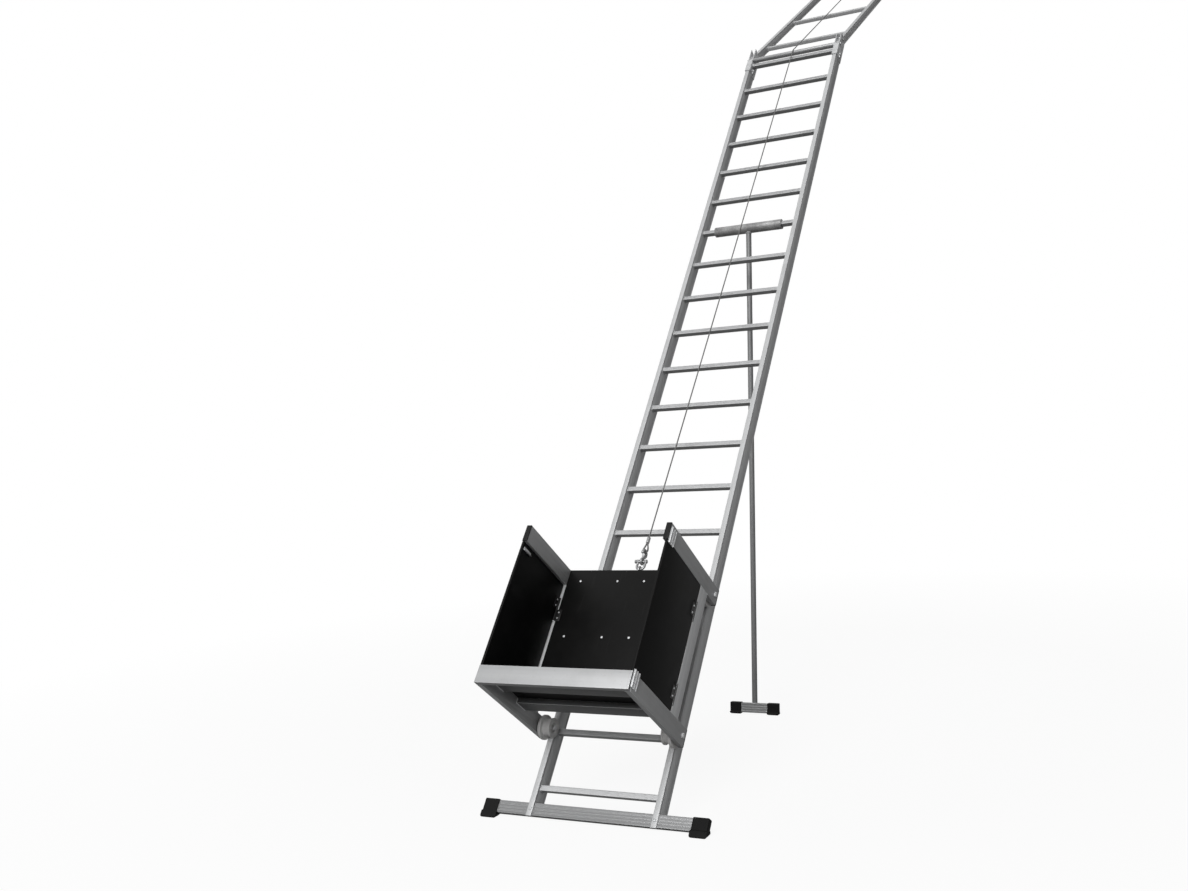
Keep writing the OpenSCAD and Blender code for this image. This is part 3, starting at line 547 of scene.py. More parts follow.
def bentAlong(piece, points):  # lays a straight piece on z along a line
    line = bpy.data.curves.new("guideLine", "CURVE")
    line.dimensions = "3D"
    spline = line.splines.new("POLY")
    spline.points.add(len(points) - 1)
    for made, point in zip(spline.points, points):
        made.co = (*point, 1)
    guide = bpy.data.objects.new("guideLine", line)
    scene.collection.objects.link(guide)
    modify(piece, "CURVE", object=guide, deform_axis="POS_Z")
    bpy.data.objects.remove(guide)
    bpy.data.curves.remove(line)


def layRope(name, points, s):
    piece = strandedTube(name, lengthOf(points), s)
    bentAlong(piece, points)
    smoothBy(piece, 50)
    wear(piece, ropeSteel)
    return piece


def ropeLines(s):
    fall, bend = math.radians(-hoist["ropeFall"]), math.radians(-hoist["kneeBend"])
    radius = s["bentOver"]

    def overKnee(a):
        return Vector((0, hoist["kneeUp"] - radius * math.sin(a), hoist["kneeOut"] + radius * math.cos(a)))

    start, tangent = Vector((0, s["start"], s["startOut"])), overKnee(fall)
    steps, kneeSteps = s["runSteps"], s["kneeSteps"]
    lower = [start.lerp(tangent, i / steps) for i in range(steps)]
    lower += [overKnee(fall + (bend - fall) * i / kneeSteps) for i in range(kneeSteps + 1)]
    away, line = hoist["drumAway"], s["drumLine"]
    drumOut = radius - line

    def onDrum(turn, across):
        a = math.tau * turn
        return Vector((across, away + line * math.sin(a), drumOut + line * math.cos(a)))

    upper = [Vector((0, away * i / steps, radius)) for i in range(steps)]
    upper += [onDrum(s["wrapShare"] * i / s["wrapSteps"], 0) for i in range(s["wrapSteps"] + 1)]
    loop = s["loopSteps"]
    wound = [onDrum(i / loop, -s["pitch"] * (1 + i / loop)) for i in range(loop * s["loops"] + 1)]
    ahead = (wound[-1] - wound[-2]).normalized()
    side = Vector((-1, 0, 0))
    last = wound[-1].copy()
    for i in range(1, s["tuckSteps"] + 1):  # a quarter turn to the flange
        a = math.radians(90 * i / s["tuckSteps"])
        wound.append(last + s["tuck"] * (math.sin(a) * ahead + (1 - math.cos(a)) * side))
    wound.append(Vector((-s["flangeIn"], wound[-1].y, wound[-1].z)))
    return ([onLadder @ p for p in lower], [onUpper @ p for p in upper],
            [onUpper @ p for p in wound], onLadder @ tangent)


def addRopes(s):
    lower, upper, wound, tangent = ropeLines(s)
    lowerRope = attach(layRope("lowerRope", lower, s), "ladder")
    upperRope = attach(layRope("upperRope", upper, s), "upper_section")
    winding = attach(layRope("ropeWinding", wound, s), "rope_drum")
    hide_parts("rope_lower")
    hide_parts("rope_upper")
    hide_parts("rope_winding")
    run = (tangent - lower[0]).dot(upLadder)
    (run - s["travel"]) / run
    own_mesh(lowerRope)
    lengthOf(lower)
    lengthOf(upper)


addRopes(ropeSet)
print("ropes laid")


# the rigid parts: a copy of each solid with its edges broken

edgeSet = {"merge": 0.00001, "flat": 0.4, "sharp": 38, "steps": 2, "smooth": 32}  # metres and degrees


def dressed(node, finish, edge, width, s=edgeSet):
    pick(nodes[node])
    bpy.ops.object.duplicate()
    piece = bpy.context.object
    piece.name = nameOf(node)
    bpy.ops.object.parent_clear(type="CLEAR_KEEP_TRANSFORM")
    for key in list(piece.keys()):
        del piece[key]
    bpy.ops.mesh.customdata_custom_splitnormals_clear()
    wear(piece, finish, edge or finish)
    editing(piece)
    bpy.ops.mesh.select_all(action="SELECT")
    bpy.ops.mesh.remove_doubles(threshold=s["merge"])
    bpy.ops.mesh.dissolve_limited(angle_limit=math.radians(s["flat"]))
    doneEditing()
    modify(piece, "BEVEL", width=width, segments=s["steps"], limit_method="ANGLE",
           angle_limit=math.radians(s["sharp"]), material=1 if edge else -1)
    smoothBy(piece, s["smooth"])
    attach(piece, bodyOf[node])
    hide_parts(node)
    return piece


dressSet = {
    # node: finish, edge finish, edge width
    "left_stile": (stileAlloy, edgeHighlightAlloy, 0.0030),
    "right_stile": (stileAlloy, edgeHighlightAlloy, 0.0030),
    "stabiliser_bar": (barAlloy, edgeHighlightAlloy, 0.0014),
    "ladder_bolts": (gearZinc, None, 0.0007),
    "left_knee_plates": (kneeZinc, edgeHighlightAlloy, 0.0010),
    "right_knee_plates": (kneeZinc, edgeHighlightAlloy, 0.0010),
    "knee_axle": (gearZinc, None, 0.0008),
    "left_top_arm": (armAlloy, edgeHighlightAlloy, 0.0022),
    "right_top_arm": (armAlloy, edgeHighlightAlloy, 0.0022),
    "left_bottom_arm": (armAlloy, edgeHighlightAlloy, 0.0022),
    "right_bottom_arm": (armAlloy, edgeHighlightAlloy, 0.0022),
    "front_bar": (frontAlloy, edgeHighlightAlloy, 0.0022),
    "left_post": (postAlloy, edgeHighlightAlloy, 0.0022),
    "right_post": (postAlloy, edgeHighlightAlloy, 0.0022),
    "carriage_rails": (railShadeAlloy, edgeHighlightAlloy, 0.0020),
    "floor_panel": (blackPly, None, 0.0012),
    "back_panel": (blackPly, None, 0.0012),
    "panel_bolts": (zinc, None, 0.0021),
    "arm_plugs": (blackPlastic, None, 0.0018),
    "wing_stops": (paintedLightZinc, None, 0.0008),
    "roller_axles": (paintedLightZinc, None, 0.0007),
    "post_hinge_leaves": (blackSteel, None, 0.0004),
    "hinge_pins": (zinc, None, 0.0004),
    "rope_lug": (gearZinc, None, 0.0012),
    "shackle": (gearZinc, None, 0.0003),
    "shackle_pin": (gearZinc, None, 0.0006),
    "hook": (gearZinc, None, 0.0005),
    "left_wing_panel": (blackPly, None, 0.0012),
    "left_wing_leaves": (blackSteel, None, 0.0004),
    "left_wing_tab": (zinc, None, 0.0006),
    "right_wing_panel": (blackPly, None, 0.0012),
    "right_wing_leaves": (blackSteel, None, 0.0004),
    "right_wing_tab": (zinc, None, 0.0006),
    "prop_sleeve": (mottled, None, 0.0012),
    "prop_tube": (propAlloy, None, 0.0010),
    "prop_foot_bar": (barAlloy, edgeHighlightAlloy, 0.0014),
    "knee_roller": (tubeAlloy, None, 0.0012),
    "left_upper_stile": (upperAlloy, edgeHighlightAlloy, 0.0024),
    "right_upper_stile": (upperAlloy, edgeHighlightAlloy, 0.0024),
    "knee_lock_bolts": (gearZinc, None, 0.0007),
    "winch_bearings": (machined, None, 0.0016),
    "drum": (machined, None, 0.0010),
    "drum_shaft": (machined, None, 0.0008),
}

pieces = {node: dressed(node, *look) for node, look in dressSet.items()}
print("solids dressed:", len(dressSet))

# drawn grooves along the stiles

stileGrooves = {"lines": (-0.011, -0.074), "wide": 0.004, "deep": 0.0014, "from": 0.11, "to": 5.38,
                "faces": hoist["stileFaces"], "near": 0.0004}
upperGrooves = {"lines": (0.005, -0.027), "wide": 0.003, "deep": 0.0012, "from": 0.13, "to": 1.99,
                "faces": hoist["upperFaces"], "near": 0.0004}


def groove(piece, within, s):
    half = s["wide"] / 2
    sliced(piece, within, 2, [line + side for line in s["lines"] for side in (-half, half)])
    sliced(piece, within, 1, (s["from"], s["to"]))

    def inLine(middle, normal):
        return (s["from"] < middle.y < s["to"] and abs(normal.x) > facing
                and any(abs(middle.z - line) < half for line in s["lines"])
                and any(abs(abs(middle.x) - face) < s["near"] for face in s["faces"]))

    chosen(piece, inLine, within)
    sunk(s["deep"])


for side in ("left", "right"):
    groove(pieces[side + "_stile"], onLadder, stileGrooves)
    groove(pieces[side + "_upper_stile"], onUpper, upperGrooves)
print("stiles grooved")

# painted shade: a darker copy of the alloy on faces that look down the ladder

lookingDown = -0.7  # the normal's part up the ladder


def paintShadeUnder(piece, finish):
    piece.data.materials.append(finish)
    chosen(piece, lambda middle, normal: normal.y < lookingDown, onLadder)
    piece.active_material_index = len(piece.data.materials) - 1
    bpy.ops.object.material_slot_assign()
    doneEditing()


paintShadeUnder(pieces["front_bar"], underShadeAlloy)
paintShadeUnder(pieces["stabiliser_bar"], shadedAlloy)

# rungs: a fluted square tube with a pressed collar at each end

rungSet = {
    "side": 0.028,
    "behind": 0.030,
    "first": 0.161,
    "pitch": 0.280,
    "count": 20,
    "propAt": 14,
    "collar": 0.034,
    "collarThick": 0.004,
    "flutes": (-0.0080, -0.0027, 0.0027, 0.0080),
    "fluteWide": 0.0030,
    "fluteDeep": 0.0010,
    "plainEnd": 0.012,  # no flutes here
    "round": 0.0030,
    "collarRound": 0.0018,
    "half": hoist["stileFaces"][0], "kneeHalf": 0.300, "upperHalf": hoist["upperFaces"][0],
    "upperOut": -0.016,
    "crossbarAt": 0.060,
    "upperAt": (0.365, 1.110, 2.160),
}


def rungModel(half, s):
    tube = block((2 * half, s["side"], s["side"]))
    rounded(tube, s["round"], 3)
    wide, end = s["fluteWide"] / 2, half - s["plainEnd"]
    sliced(tube, Matrix(), 1, [f + w for f in s["flutes"] for w in (-wide, wide)])
    sliced(tube, Matrix(), 0, (-end, end))

    def onFlute(middle, normal):
        return (normal.z > facing and abs(middle.x) < end
                and any(abs(middle.y - f) < wide for f in s["flutes"]))

    chosen(tube, onFlute)
    sunk(s["fluteDeep"])
    collar = block((s["collarThick"], s["collar"], s["collar"]))
    rounded(collar, s["collarRound"])
    away = half - s["collarThick"] / 2
    collars = copies(collar, [Matrix.Translation((x, 0, 0)) for x in (-away, away)])
    rung = joined([tube, collars])
    smoothBy(rung, 40)
    return rung


def addRungs(s):
    def up(n):
        return onLadder @ Matrix.Translation((0, s["first"] + (n - 1) * s["pitch"], -s["behind"]))

    def away(a):
        return onUpper @ Matrix.Translation((0, a, s["upperOut"]))

    plain = [up(n) for n in range(1, s["count"]) if n != s["propAt"]]
    made = {
        "rungs": joined([copies(rungModel(s["half"], s), plain),
                         copies(rungModel(s["kneeHalf"], s), [up(s["count"])])]),
        "prop_rung": copies(rungModel(s["half"], s), [up(s["propAt"])]),
        "knee_crossbar": copies(rungModel(s["kneeHalf"], s), [away(s["crossbarAt"])]),
        "upper_rungs": copies(rungModel(s["upperHalf"], s), [away(a) for a in s["upperAt"]]),
    }
    for node, piece in made.items():
        standsFor(piece, node, rungAlloy)
        # painted shade on the faces of the ladder's rungs that look down it
        if bodyOf[node] == "ladder":
            paintShadeUnder(piece, underShadeAlloy)


addRungs(rungSet)
print("rungs set")

# rubber caps, rounded as they come out of a mould

capSet = {
    "wall": 0.004,
    "flare": 0.006,
    "barTall": 0.058,
    "barDeep": 0.026,
    "rim": 0.003,  # top of the foot above the bar's lower edge
    "drop": 0.060,
    "round": 0.0035,
    "soleRound": 0.0130,
    "grain": 0.0017,
    "rounds": 4,
    "sole": 0.99,  # a normal this far down is the sole
    "bar": (0, 0.026, -0.006),  # the stabiliser bar's lower front edge
    "footBar": -2.991,  # the foot bar's lower edge, down the prop
    "long": 0.078, "footLong": 0.072,
    "middle": 0.533, "footMiddle": 0.121,
}


def capPlaces(s):  # node, frame of its bar, length of a cap, middles along the bar
    onBar = onLadder @ Matrix.Translation(s["bar"])
    onFootBar = (onProp @ Matrix.Translation((0, s["barDeep"] / 2, s["footBar"])) @ tipped(90)
                 @ Matrix.Translation((0, 0, s["barDeep"])))
    return (("left_stabiliser_cap", onBar, s["long"], (-s["middle"],)),
            ("right_stabiliser_cap", onBar, s["long"], (s["middle"],)),
            ("prop_foot_caps", onFootBar, s["footLong"], (-s["footMiddle"], s["footMiddle"])))


def capBlock(size, place, s, soleRound=0):  # a block cut off at the ground, with rounded edges
    made = block(size, place)
    editing(made)
    bpy.ops.mesh.select_all(action="SELECT")
    bpy.ops.mesh.bisect(plane_co=(0, 0, 0), plane_no=(0, 0, 1), clear_inner=True, use_fill=True)
    doneEditing()
    if soleRound:
        chosen(made, lambda middle, normal: normal.z < -s["sole"])
        bpy.ops.mesh.bevel(offset=soleRound, segments=5, affect="EDGES")
        doneEditing()
    rounded(made, s["round"], 3)
    return made


def moulded(node, bar, long, middles, s):
    deep = s["barDeep"] + 2 * s["wall"]
    upper = (long, s["barTall"] + 2 * s["wall"], deep)
    lower = (long + s["flare"], s["rim"] + s["drop"], deep + s["flare"] * 2 / 3)
    blocks = []
    for x in middles:
        back = -s["barDeep"] / 2
        blocks.append(capBlock(upper, bar @ Matrix.Translation((x, s["barTall"] / 2, back)), s))
        low = bar @ Matrix.Translation((x, (s["rim"] - s["drop"]) / 2, back))
        blocks.append(capBlock(lower, low, s, s["soleRound"]))
    cap = joined(blocks)
    modify(cap, "REMESH", mode="VOXEL", voxel_size=s["grain"])
    modify(cap, "SMOOTH", factor=0.5, iterations=s["rounds"])
    standsFor(cap, node, capRubber)
    smoothBy(cap, 60)


for place in capPlaces(capSet):
    moulded(*place, capSet)
print("caps moulded")

# hinge screws, plates and strips, and a bolt at the foot of each stile

screwSet = {"wide": 0.0092, "tall": 0.0029, "recess": 0.0022, "deep": 0.0012, "dome": 0.75, "crown": 0.99}
boltSet = {**screwSet, "wide": 0.0150, "tall": 0.0050, "recess": 0.0040, "deep": 0.0020}


def screwModel(s):  # a domed head on z with a socket in its crown
    head = rod(s["wide"] / 2, s["tall"], 24)
    chosen(head, lambda middle, normal: normal.z > facing)
    bpy.ops.mesh.bevel(offset=s["tall"] * s["dome"], segments=4, affect="EDGES")
    doneEditing()
    chosen(head, lambda middle, normal: normal.z > s["crown"])
    bpy.ops.mesh.inset(thickness=s["wide"] / 4 - s["recess"] / 2)
    lifted(-s["deep"])
    doneEditing()
    smoothBy(head, 40)
    return head


hingeSet = {
    "hinges": (0.560, 0.976),
    "upper": (0.0157, 0.0466),  # screws in the wing's leaf, from the middle of a hinge
    "lower": (-0.0466, -0.0157),  # screws in the post's leaf
    "outer": (-0.0175, 0.0175),  # screws in the plate outside
    "wing": (0.3628, 0.223),  # across and out from the ladder, on the wing's inner face
    "wingOut": (0.3792, 0.2275),  # on the plate outside
    "plate": (0.0020, 0.062, 0.024),
    "post": (0.3452, 0.2054),  # on the post's leaf
    "postEdge": (0.3777, 0.1999),  # on the post's outer face
    "strip": (0.0010, 0.107, 0.0064),
    "foot": (0.3185, 0.055, -0.0002),  # the bolt at the foot of a stile
}


def hingePlaces(s, side, spot, rises=(0,), axis=(0, 0, 1)):
    x, out = spot
    return [onLadder @ Matrix.Translation((side * x, hinge + rise, out)) @ turned(axis)
            for hinge in s["hinges"] for rise in rises]


def plateModel(size):
    plate = block(size)
    rounded(plate, size[0] / 3)
    smoothBy(plate, 35)
    return plate


def addHinges(word, side, s):
    onWing = hingePlaces(s, side, s["wing"], s["upper"], (-side, 0, 0))
    onWing += hingePlaces(s, side, s["wingOut"], s["outer"], (side, 0, 0))
    finished(copies(screwModel(screwSet), onWing), word + "WingScrews", word + "_wing", zinc)
    x, out = s["wingOut"]
    plates = copies(plateModel(s["plate"]), hingePlaces(s, side, (x - s["plate"][0] / 2, out)))
    finished(plates, word + "WingPlates", word + "_wing", darkSteel)
    onPost = hingePlaces(s, side, s["post"], s["lower"])
    finished(copies(screwModel(screwSet), onPost), word + "PostScrews", "carriage", zinc)
    strips = copies(plateModel(s["strip"]), hingePlaces(s, side, s["postEdge"]))
    finished(strips, word + "PostStrips", "carriage", blackSteel)


def addFootBolt(word, side, s):
    x, up, out = s["foot"]
    bolt = copies(screwModel(boltSet), [onLadder @ Matrix.Translation((side * x, up, out))])
    finished(bolt, word + "FootBolt", "ladder", zinc)


for word, side in (("left", -1), ("right", 1)):
    addHinges(word, side, hingeSet)
    addFootBolt(word, side, hingeSet)
print("screws driven")

# weld beads

weldSet = {"wide": 0.0065, "pitch": 0.0026}


def weldDrop(s):
    deselect()
    bpy.ops.mesh.primitive_uv_sphere_add(segments=12, ring_count=6, radius=s["wide"] / 2)
    return bpy.context.object


def weldLine(start, end, s):  # drops that overlap from start to end
    drop = weldDrop(s)
    run = end - start
    modify(drop, "ARRAY", count=max(2, round(run.length / s["pitch"])), use_relative_offset=False,
           use_constant_offset=True, constant_offset_displace=(0, 0, s["pitch"]))
    applyPlace(drop, Matrix.Translation(start) @ turned(run))
    return drop


armSide = {"inner": 0.3525, "outer": 0.3775}  # the arms' faces, from the middle
carriageWelds = [  # from and to: a face of the arm, up the ladder and out from it
    (("inner", 0.476, 0.118), ("outer", 0.476, 0.118)),
    (("inner", 1.116, 0.118), ("outer", 1.116, 0.118)),
    (("inner", 0.394, 0.592), ("inner", 0.462, 0.592)),
    (("inner", 0.805, 0.166), ("inner", 0.861, 0.166)),
    (("inner", 1.109, 0.166), ("inner", 1.165, 0.166)),
    (("inner", 0.478, 0.120), ("inner", 0.478, 0.164)),
    (("inner", 0.439, 0.222), ("inner", 0.439, 0.302)),
    (("inner", 0.440, 0.304), ("inner", 0.462, 0.304)),
    (("inner", 0.439, 0.426), ("inner", 0.439, 0.506)),
    (("inner", 0.440, 0.508), ("inner", 0.462, 0.508)),
]


def addWelds(s):
    beads = []
    for line in carriageWelds:
        for side in (-1, 1):
            ends = [onLadder @ Vector((side * armSide[face], up, out)) for face, up, out in line]
            beads.append(weldLine(*ends, s))
    finished(joined(beads), "carriageWelds", "carriage", edgeHighlightAlloy)


addWelds(weldSet)

propWelds = {"tube": 0.0165, "sleeve": 0.0300, "footUp": -2.9330, "drops": 36}


def addPropWelds(s, bead):
    around = [math.tau * i / s["drops"] for i in range(s["drops"])]
    places = []
    for a in around:  # a saddle under the sleeve and a ring on the foot bar
        x, y = s["tube"] * math.cos(a), s["tube"] * math.sin(a)
        places.append((x, y, -math.sqrt(s["sleeve"] ** 2 - y ** 2)))
        places.append((x, y, s["footUp"]))
    beads = copies(weldDrop(bead), [onProp @ Matrix.Translation(p) for p in places])
    finished(beads, "propWelds", "prop", edgeHighlightAlloy)


addPropWelds(propWelds, weldSet)
print("welds laid")

# the rope's eye on its liner, pressed into a ferrule

eyeSet = {
    "at": 0.0974,  # up the rope from its lug
    "round": 0.0145,
    "low": 0.0140,  # from the eye's crown to the middle of its bow
    "long": 0.058,
    "apart": 0.0038,
    "thick": 0.0070,
    "liner": (0.0009, 0.0084),
    "linerRound": 0.0106,
    "ferrule": 0.034,
    "ferruleThick": 0.018,
    "crimps": (0.009, 0.017, 0.025),
    "crimpWide": 0.0030,
    "crimpDeep": 0.0007,
    "ferruleRound": 0.0022,
    "tail": 0.004,  # how far the legs run into the ferrule
    "linerApart": 0.0006,
    "legSteps": 12, "bowSteps": 18, "linerCuts": 60,
}


def eyeLine(s, radius, apart):  # down one leg, round the bow and up the other
    low, top = s["at"] + s["low"], s["at"] + s["long"] + s["tail"]
    legSteps, bowSteps = s["legSteps"], s["bowSteps"]
    leg = []
    for i in range(legSteps + 1):
        spread = (1 - math.cos(math.pi * i / legSteps)) / 2
        leg.append((apart + (radius - apart) * spread, top + (low - top) * i / legSteps))
    bow = [(-radius * math.cos(a), low - radius * math.sin(a))
           for a in (math.pi * i / bowSteps for i in range(1, bowSteps))]
    flat = [(-x, z) for x, z in leg] + bow + [(x, z) for x, z in reversed(leg)]
    return [onRope @ Vector((x, 0, z)) for x, z in flat]


def linerModel(s):
    inside = eyeLine(s, s["linerRound"], s["linerApart"])
    run, cuts = lengthOf(inside), s["linerCuts"]
    liner = block((*s["liner"], run), Matrix.Translation((0, 0, run / 2)))
    sliced(liner, Matrix(), 2, [run * i / cuts for i in range(1, cuts)])
    bentAlong(liner, inside)
    smoothBy(liner, 40)
    return liner


def ferruleModel(s):
    ferrule = rod(s["ferruleThick"] / 2, s["ferrule"], 40)
    rounded(ferrule, s["ferruleRound"], 3)
    half = s["crimpWide"] / 2
    sliced(ferrule, Matrix(), 2, [c + w for c in s["crimps"] for w in (-half, half)])
    chosen(ferrule, lambda middle, normal: abs(normal.z) < 1 - facing
           and any(abs(middle.z - c) < half for c in s["crimps"]))
    sunk(s["crimpDeep"])
    smoothBy(ferrule, 35)
    applyPlace(ferrule, onRope @ Matrix.Translation((0, 0, s["at"] + s["long"])))
    return ferrule


def addEye(s):
    eye = layRope("ropeEye", eyeLine(s, s["round"], s["apart"]), {**ropeSet, "thick": s["thick"]})
    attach(eye, bodyOf["thimble"])
    finished(linerModel(s), "eyeLiner", bodyOf["thimble"], gearZinc)
    ferrule = ferruleModel(s)
    finished(ferrule, "ferrule", bodyOf["thimble"], gearZinc)
    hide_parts("thimble")


addEye(eyeSet)

# a sprung latch across the hook's mouth

latchSet = {"wide": 0.010, "thick": 0.0016, "round": 0.0005,
            "from": (0, -0.0060, 0.0720), "to": (0, -0.0150, 0.0880)}


def addLatch(s):
    start, end = Vector(s["from"]), Vector(s["to"])
    long = (end - start).length
    latch = block((s["wide"], s["thick"], long), Matrix.Translation((0, 0, long / 2)))
    rounded(latch, s["round"])
    applyPlace(latch, onRope @ Matrix.Translation(start) @ turned(end - start))
    finished(latch, "hookLatch", bodyOf["hook"], zinc)


addLatch(latchSet)
print("rope gear hung")

# rollers turned from nylon, dished at both ends

rollerSet = {
    "inner": 0.2903, "out": 0.040,
    "disc": 0.046, "discThick": 0.010,
    "tread": 0.0397, "treadWide": 0.042,
    "flange": 0.059, "flangeThick": 0.014,
    "dish": (0.0215, 0.0125), "deep": 0.014, "hubShare": 0.8,
    "bore": 0.0081,
    "round": 0.0016,
    "sides": 72,
    "nearAxis": 0.001,
    "axles": {"bottom": 0.434, "top": 1.158},
}


def dishedEnd(roller, way, radius, s):
    chosen(roller, lambda middle, normal: way * normal.z > facing and middle.xy.length < s["nearAxis"])
    rim, hub = s["dish"]
    bpy.ops.mesh.inset(thickness=radius - rim)
    lifted(-way * s["deep"])
    bpy.ops.mesh.inset(thickness=rim - hub)
    lifted(way * s["deep"] * s["hubShare"])
    bpy.ops.mesh.inset(thickness=hub - s["bore"])
    doneEditing()


def rollerModel(s):  # on z, its inner end at 0
    roller = rod(s["disc"], s["discThick"], s["sides"])
    chosen(roller, lambda middle, normal: normal.z > facing)
    bpy.ops.mesh.inset(thickness=s["disc"] - s["tread"])
    lifted(s["treadWide"] - s["discThick"])
    lifted(0)  # a new ring, widened into the flange
    wider = s["flange"] / s["tread"]
    bpy.ops.transform.resize(value=(wider, wider, 1), center_override=(0, 0, s["treadWide"]))
    lifted(s["flangeThick"])
    doneEditing()
    dishedEnd(roller, -1, s["disc"], s)
    dishedEnd(roller, 1, s["flange"], s)
    chosen(roller, lambda middle, normal: abs(normal.z) > facing and middle.xy.length < s["nearAxis"])
    bpy.ops.mesh.bridge_edge_loops()
    doneEditing()
    rounded(roller, s["round"])
    smoothBy(roller, 32)
    return roller


def addRollers(s):
    for level, up in s["axles"].items():
        for word, side in (("left", -1), ("right", 1)):
            node = word + "_" + level + "_roller"
            place = onLadder @ Matrix.Translation((side * s["inner"], up, s["out"])) @ turned((side, 0, 0))
            standsFor(copies(rollerModel(s), [place]), node, nylon)


addRollers(rollerSet)
print("rollers turned")

# the gear motor: a finned barrel between a gear case and an end bell

motorSet = {
    "from": 0.1653, "long": 0.130, "radius": 0.046,
    "out": -0.015,
    "finsFrom": 0.024, "finsTo": 0.092, "finDeep": 0.006,
    "bell": 0.007,
    "box": (0.050, 0.040, 0.020), "boxAt": 0.058, "boxUp": 0.050,
    "screwRing": 0.036,
    "sides": 72, "finStep": 5,  # degrees
    "rim": 0.005, "well": 0.020, "wellShare": 0.8,
    "round": 0.0012, "boxRound": 0.003,
}


def motorModel(s):
    motor = rod(s["radius"], s["long"], s["sides"])
    sliced(motor, Matrix(), 2, (s["finsFrom"], s["finsTo"]))

    def between(middle, normal):
        inZone = s["finsFrom"] < middle.z < s["finsTo"] and abs(normal.z) < 1 - facing
        return inZone and int(math.degrees(math.atan2(middle.y, middle.x)) // s["finStep"]) % 2 == 0

    chosen(motor, between)
    sunk(s["finDeep"])
    chosen(motor, lambda middle, normal: normal.z < -facing and middle.z < s["finsFrom"] / 2)
    bpy.ops.mesh.inset(thickness=s["rim"])
    lifted(s["bell"])
    bpy.ops.mesh.inset(thickness=s["well"])
    lifted(-s["bell"] * s["wellShare"])
    doneEditing()
    rounded(motor, s["round"])
    box = block(s["box"][::-1], Matrix.Translation((s["boxUp"], 0, s["boxAt"])))
    rounded(box, s["boxRound"], 3)
    motor = joined([motor, box])
    smoothBy(motor, 35)
    return motor


def addMotor(s):
    shaft = onUpper @ Matrix.Translation((s["from"], hoist["drumAway"], s["out"])) @ turned((1, 0, 0))
    standsFor(copies(motorModel(s), [shaft]), "winch_motor", casting)
    ring = [shaft @ Matrix.Rotation(math.radians(45 + 90 * i), 4, "Z")
            @ Matrix.Translation((s["screwRing"], 0, s["bell"])) @ turned((0, 0, -1)) for i in range(4)]
    finished(copies(screwModel(screwSet), ring), "motorScrews", bodyOf["winch_motor"], zinc)


addMotor(motorSet)

# bearing bolts and end plugs of the upper section

headSet = {
    "bolts": (2.018, 2.082), "rows": (-0.028, 0.006),
    "face": hoist["upperFaces"][1], "inner": 0.2953,
    "plug": (0.0264, 0.0035, 0.050), "plugRound": 0.0012,
    "plugAt": 2.200, "plugMiddle": (0.3185, -0.011),
}


def addHead(s):
    faces = ((-s["face"], -1), (s["face"], 1), (-s["inner"], 1))
    places = [onUpper @ Matrix.Translation((x, a, b)) @ turned((way, 0, 0))
              for x, way in faces for a in s["bolts"] for b in s["rows"]]
    bolts = copies(screwModel(boltSet), places)
    finished(bolts, "bearingBolts", "upper_section", zinc)
    plug = block(s["plug"], Matrix.Translation((0, s["plug"][1] / 2, 0)))
    rounded(plug, s["plugRound"])
    middle, out = s["plugMiddle"]
    plugs = copies(plug, [onUpper @ Matrix.Translation((x, s["plugAt"], out)) for x in (-middle, middle)])
    smoothBy(plugs, 35)
    finished(plugs, "upperPlugs", "upper_section", blackPlastic)


addHead(headSet)
print("head fitted")


# floor, light and backdrop

studio = {
    "floorSize": 160.0,
    "floorBounce": 0.12,  # what the floor throws back on the object
    "floorSeen": 0.90,
    "floorGlow": 0.92,
    "floorMirror": 0.30,
    "fadeFrom": 2.4, "fadeTo": 6.5,  # the floor's shade fades into the backdrop
    "ambient": 0.14,
    "keyFrom": (0.05, -0.77, 0.64),
    "keyPower": 1.92,
    "keySpread": 30.0,
    "fillFrom": (0.75, -0.50, 0.40),
    "fillPower": 0.38,
    "fillSpread": 60.0,
    "shadeSide": 0.88,  # how much darker the room is to the right of the object
    "shadeRange": (-0.05, 0.40),
}


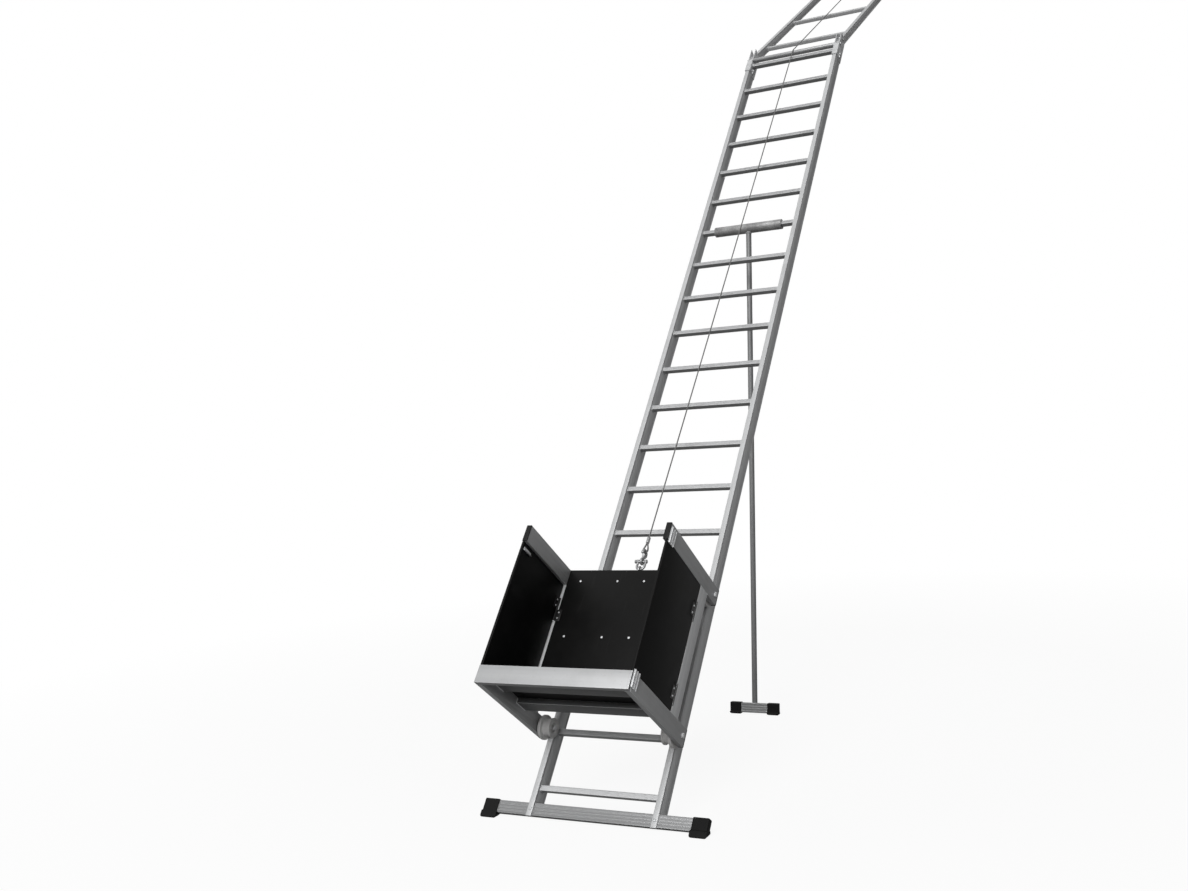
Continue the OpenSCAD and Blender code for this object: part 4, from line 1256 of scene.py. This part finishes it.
def rayKinds(sheet):
    path = sheet.node("LightPath").socket.node
    seen, glossy, through = (Wire(sheet, path.outputs[k])
                             for k in ("Is Camera Ray", "Is Glossy Ray", "Is Transmission Ray"))
    return seen, glossy.most(through)


def addFloor(s):
    deselect()
    bpy.ops.mesh.primitive_plane_add(size=s["floorSize"])
    floor = bpy.context.object
    floor.name = "studioFloor"
    finish, sheet = newFinish("floorPaper")
    seen, mirrored = rayKinds(sheet)
    away = sheet.node("VectorMath", {"operation": "LENGTH"}, [sheet.place()], out="Value")
    glow = s["floorGlow"] + away.inRange(s["fadeFrom"], s["fadeTo"]) * (1 - s["floorGlow"])
    tone = sheet.mix(seen, grey(s["floorBounce"]), grey(s["floorSeen"]))
    paper = sheet.node("BsdfDiffuse", sockets={"Color": tone})
    light = sheet.node("Emission", sockets={"Color": grey(1.0), "Strength": 1.0})
    share = seen * glow + mirrored * s["floorMirror"]
    surface = sheet.node("MixShader", sockets=[share, paper, light])
    sheet.node("OutputMaterial", sockets={"Surface": surface})
    wear(floor, finish)


def addLamp(name, origin, power, spread):
    deselect()
    bpy.ops.object.light_add(type="SUN")
    lamp = bpy.context.object
    lamp.name = name
    lamp.rotation_euler = Vector(origin).to_track_quat("Z", "Y").to_euler()
    lamp.data.energy = power
    lamp.data.angle = math.radians(spread)


def addBackdrop(s):
    world = bpy.data.worlds.new("studio")
    scene.world = world
    world.use_nodes = True
    sheet = Sheet(world.node_tree)
    seen, mirrored = rayKinds(sheet)
    side = sheet.node("SeparateXYZ", sockets=[sheet.node("TexCoord", out="Generated")])
    room = 1 - side.inRange(*s["shadeRange"]) * s["shadeSide"]
    strength = seen.most(mirrored * room).most(s["ambient"])
    surface = sheet.node("Background", sockets={"Color": grey(1.0), "Strength": strength})
    sheet.node("OutputWorld", sockets={"Surface": surface})


addFloor(studio)
addLamp("keyLamp", studio["keyFrom"], studio["keyPower"], studio["keySpread"])
addLamp("fillLamp", studio["fillFrom"], studio["fillPower"], studio["fillSpread"])
addBackdrop(studio)
print("studio lit")

deselect()
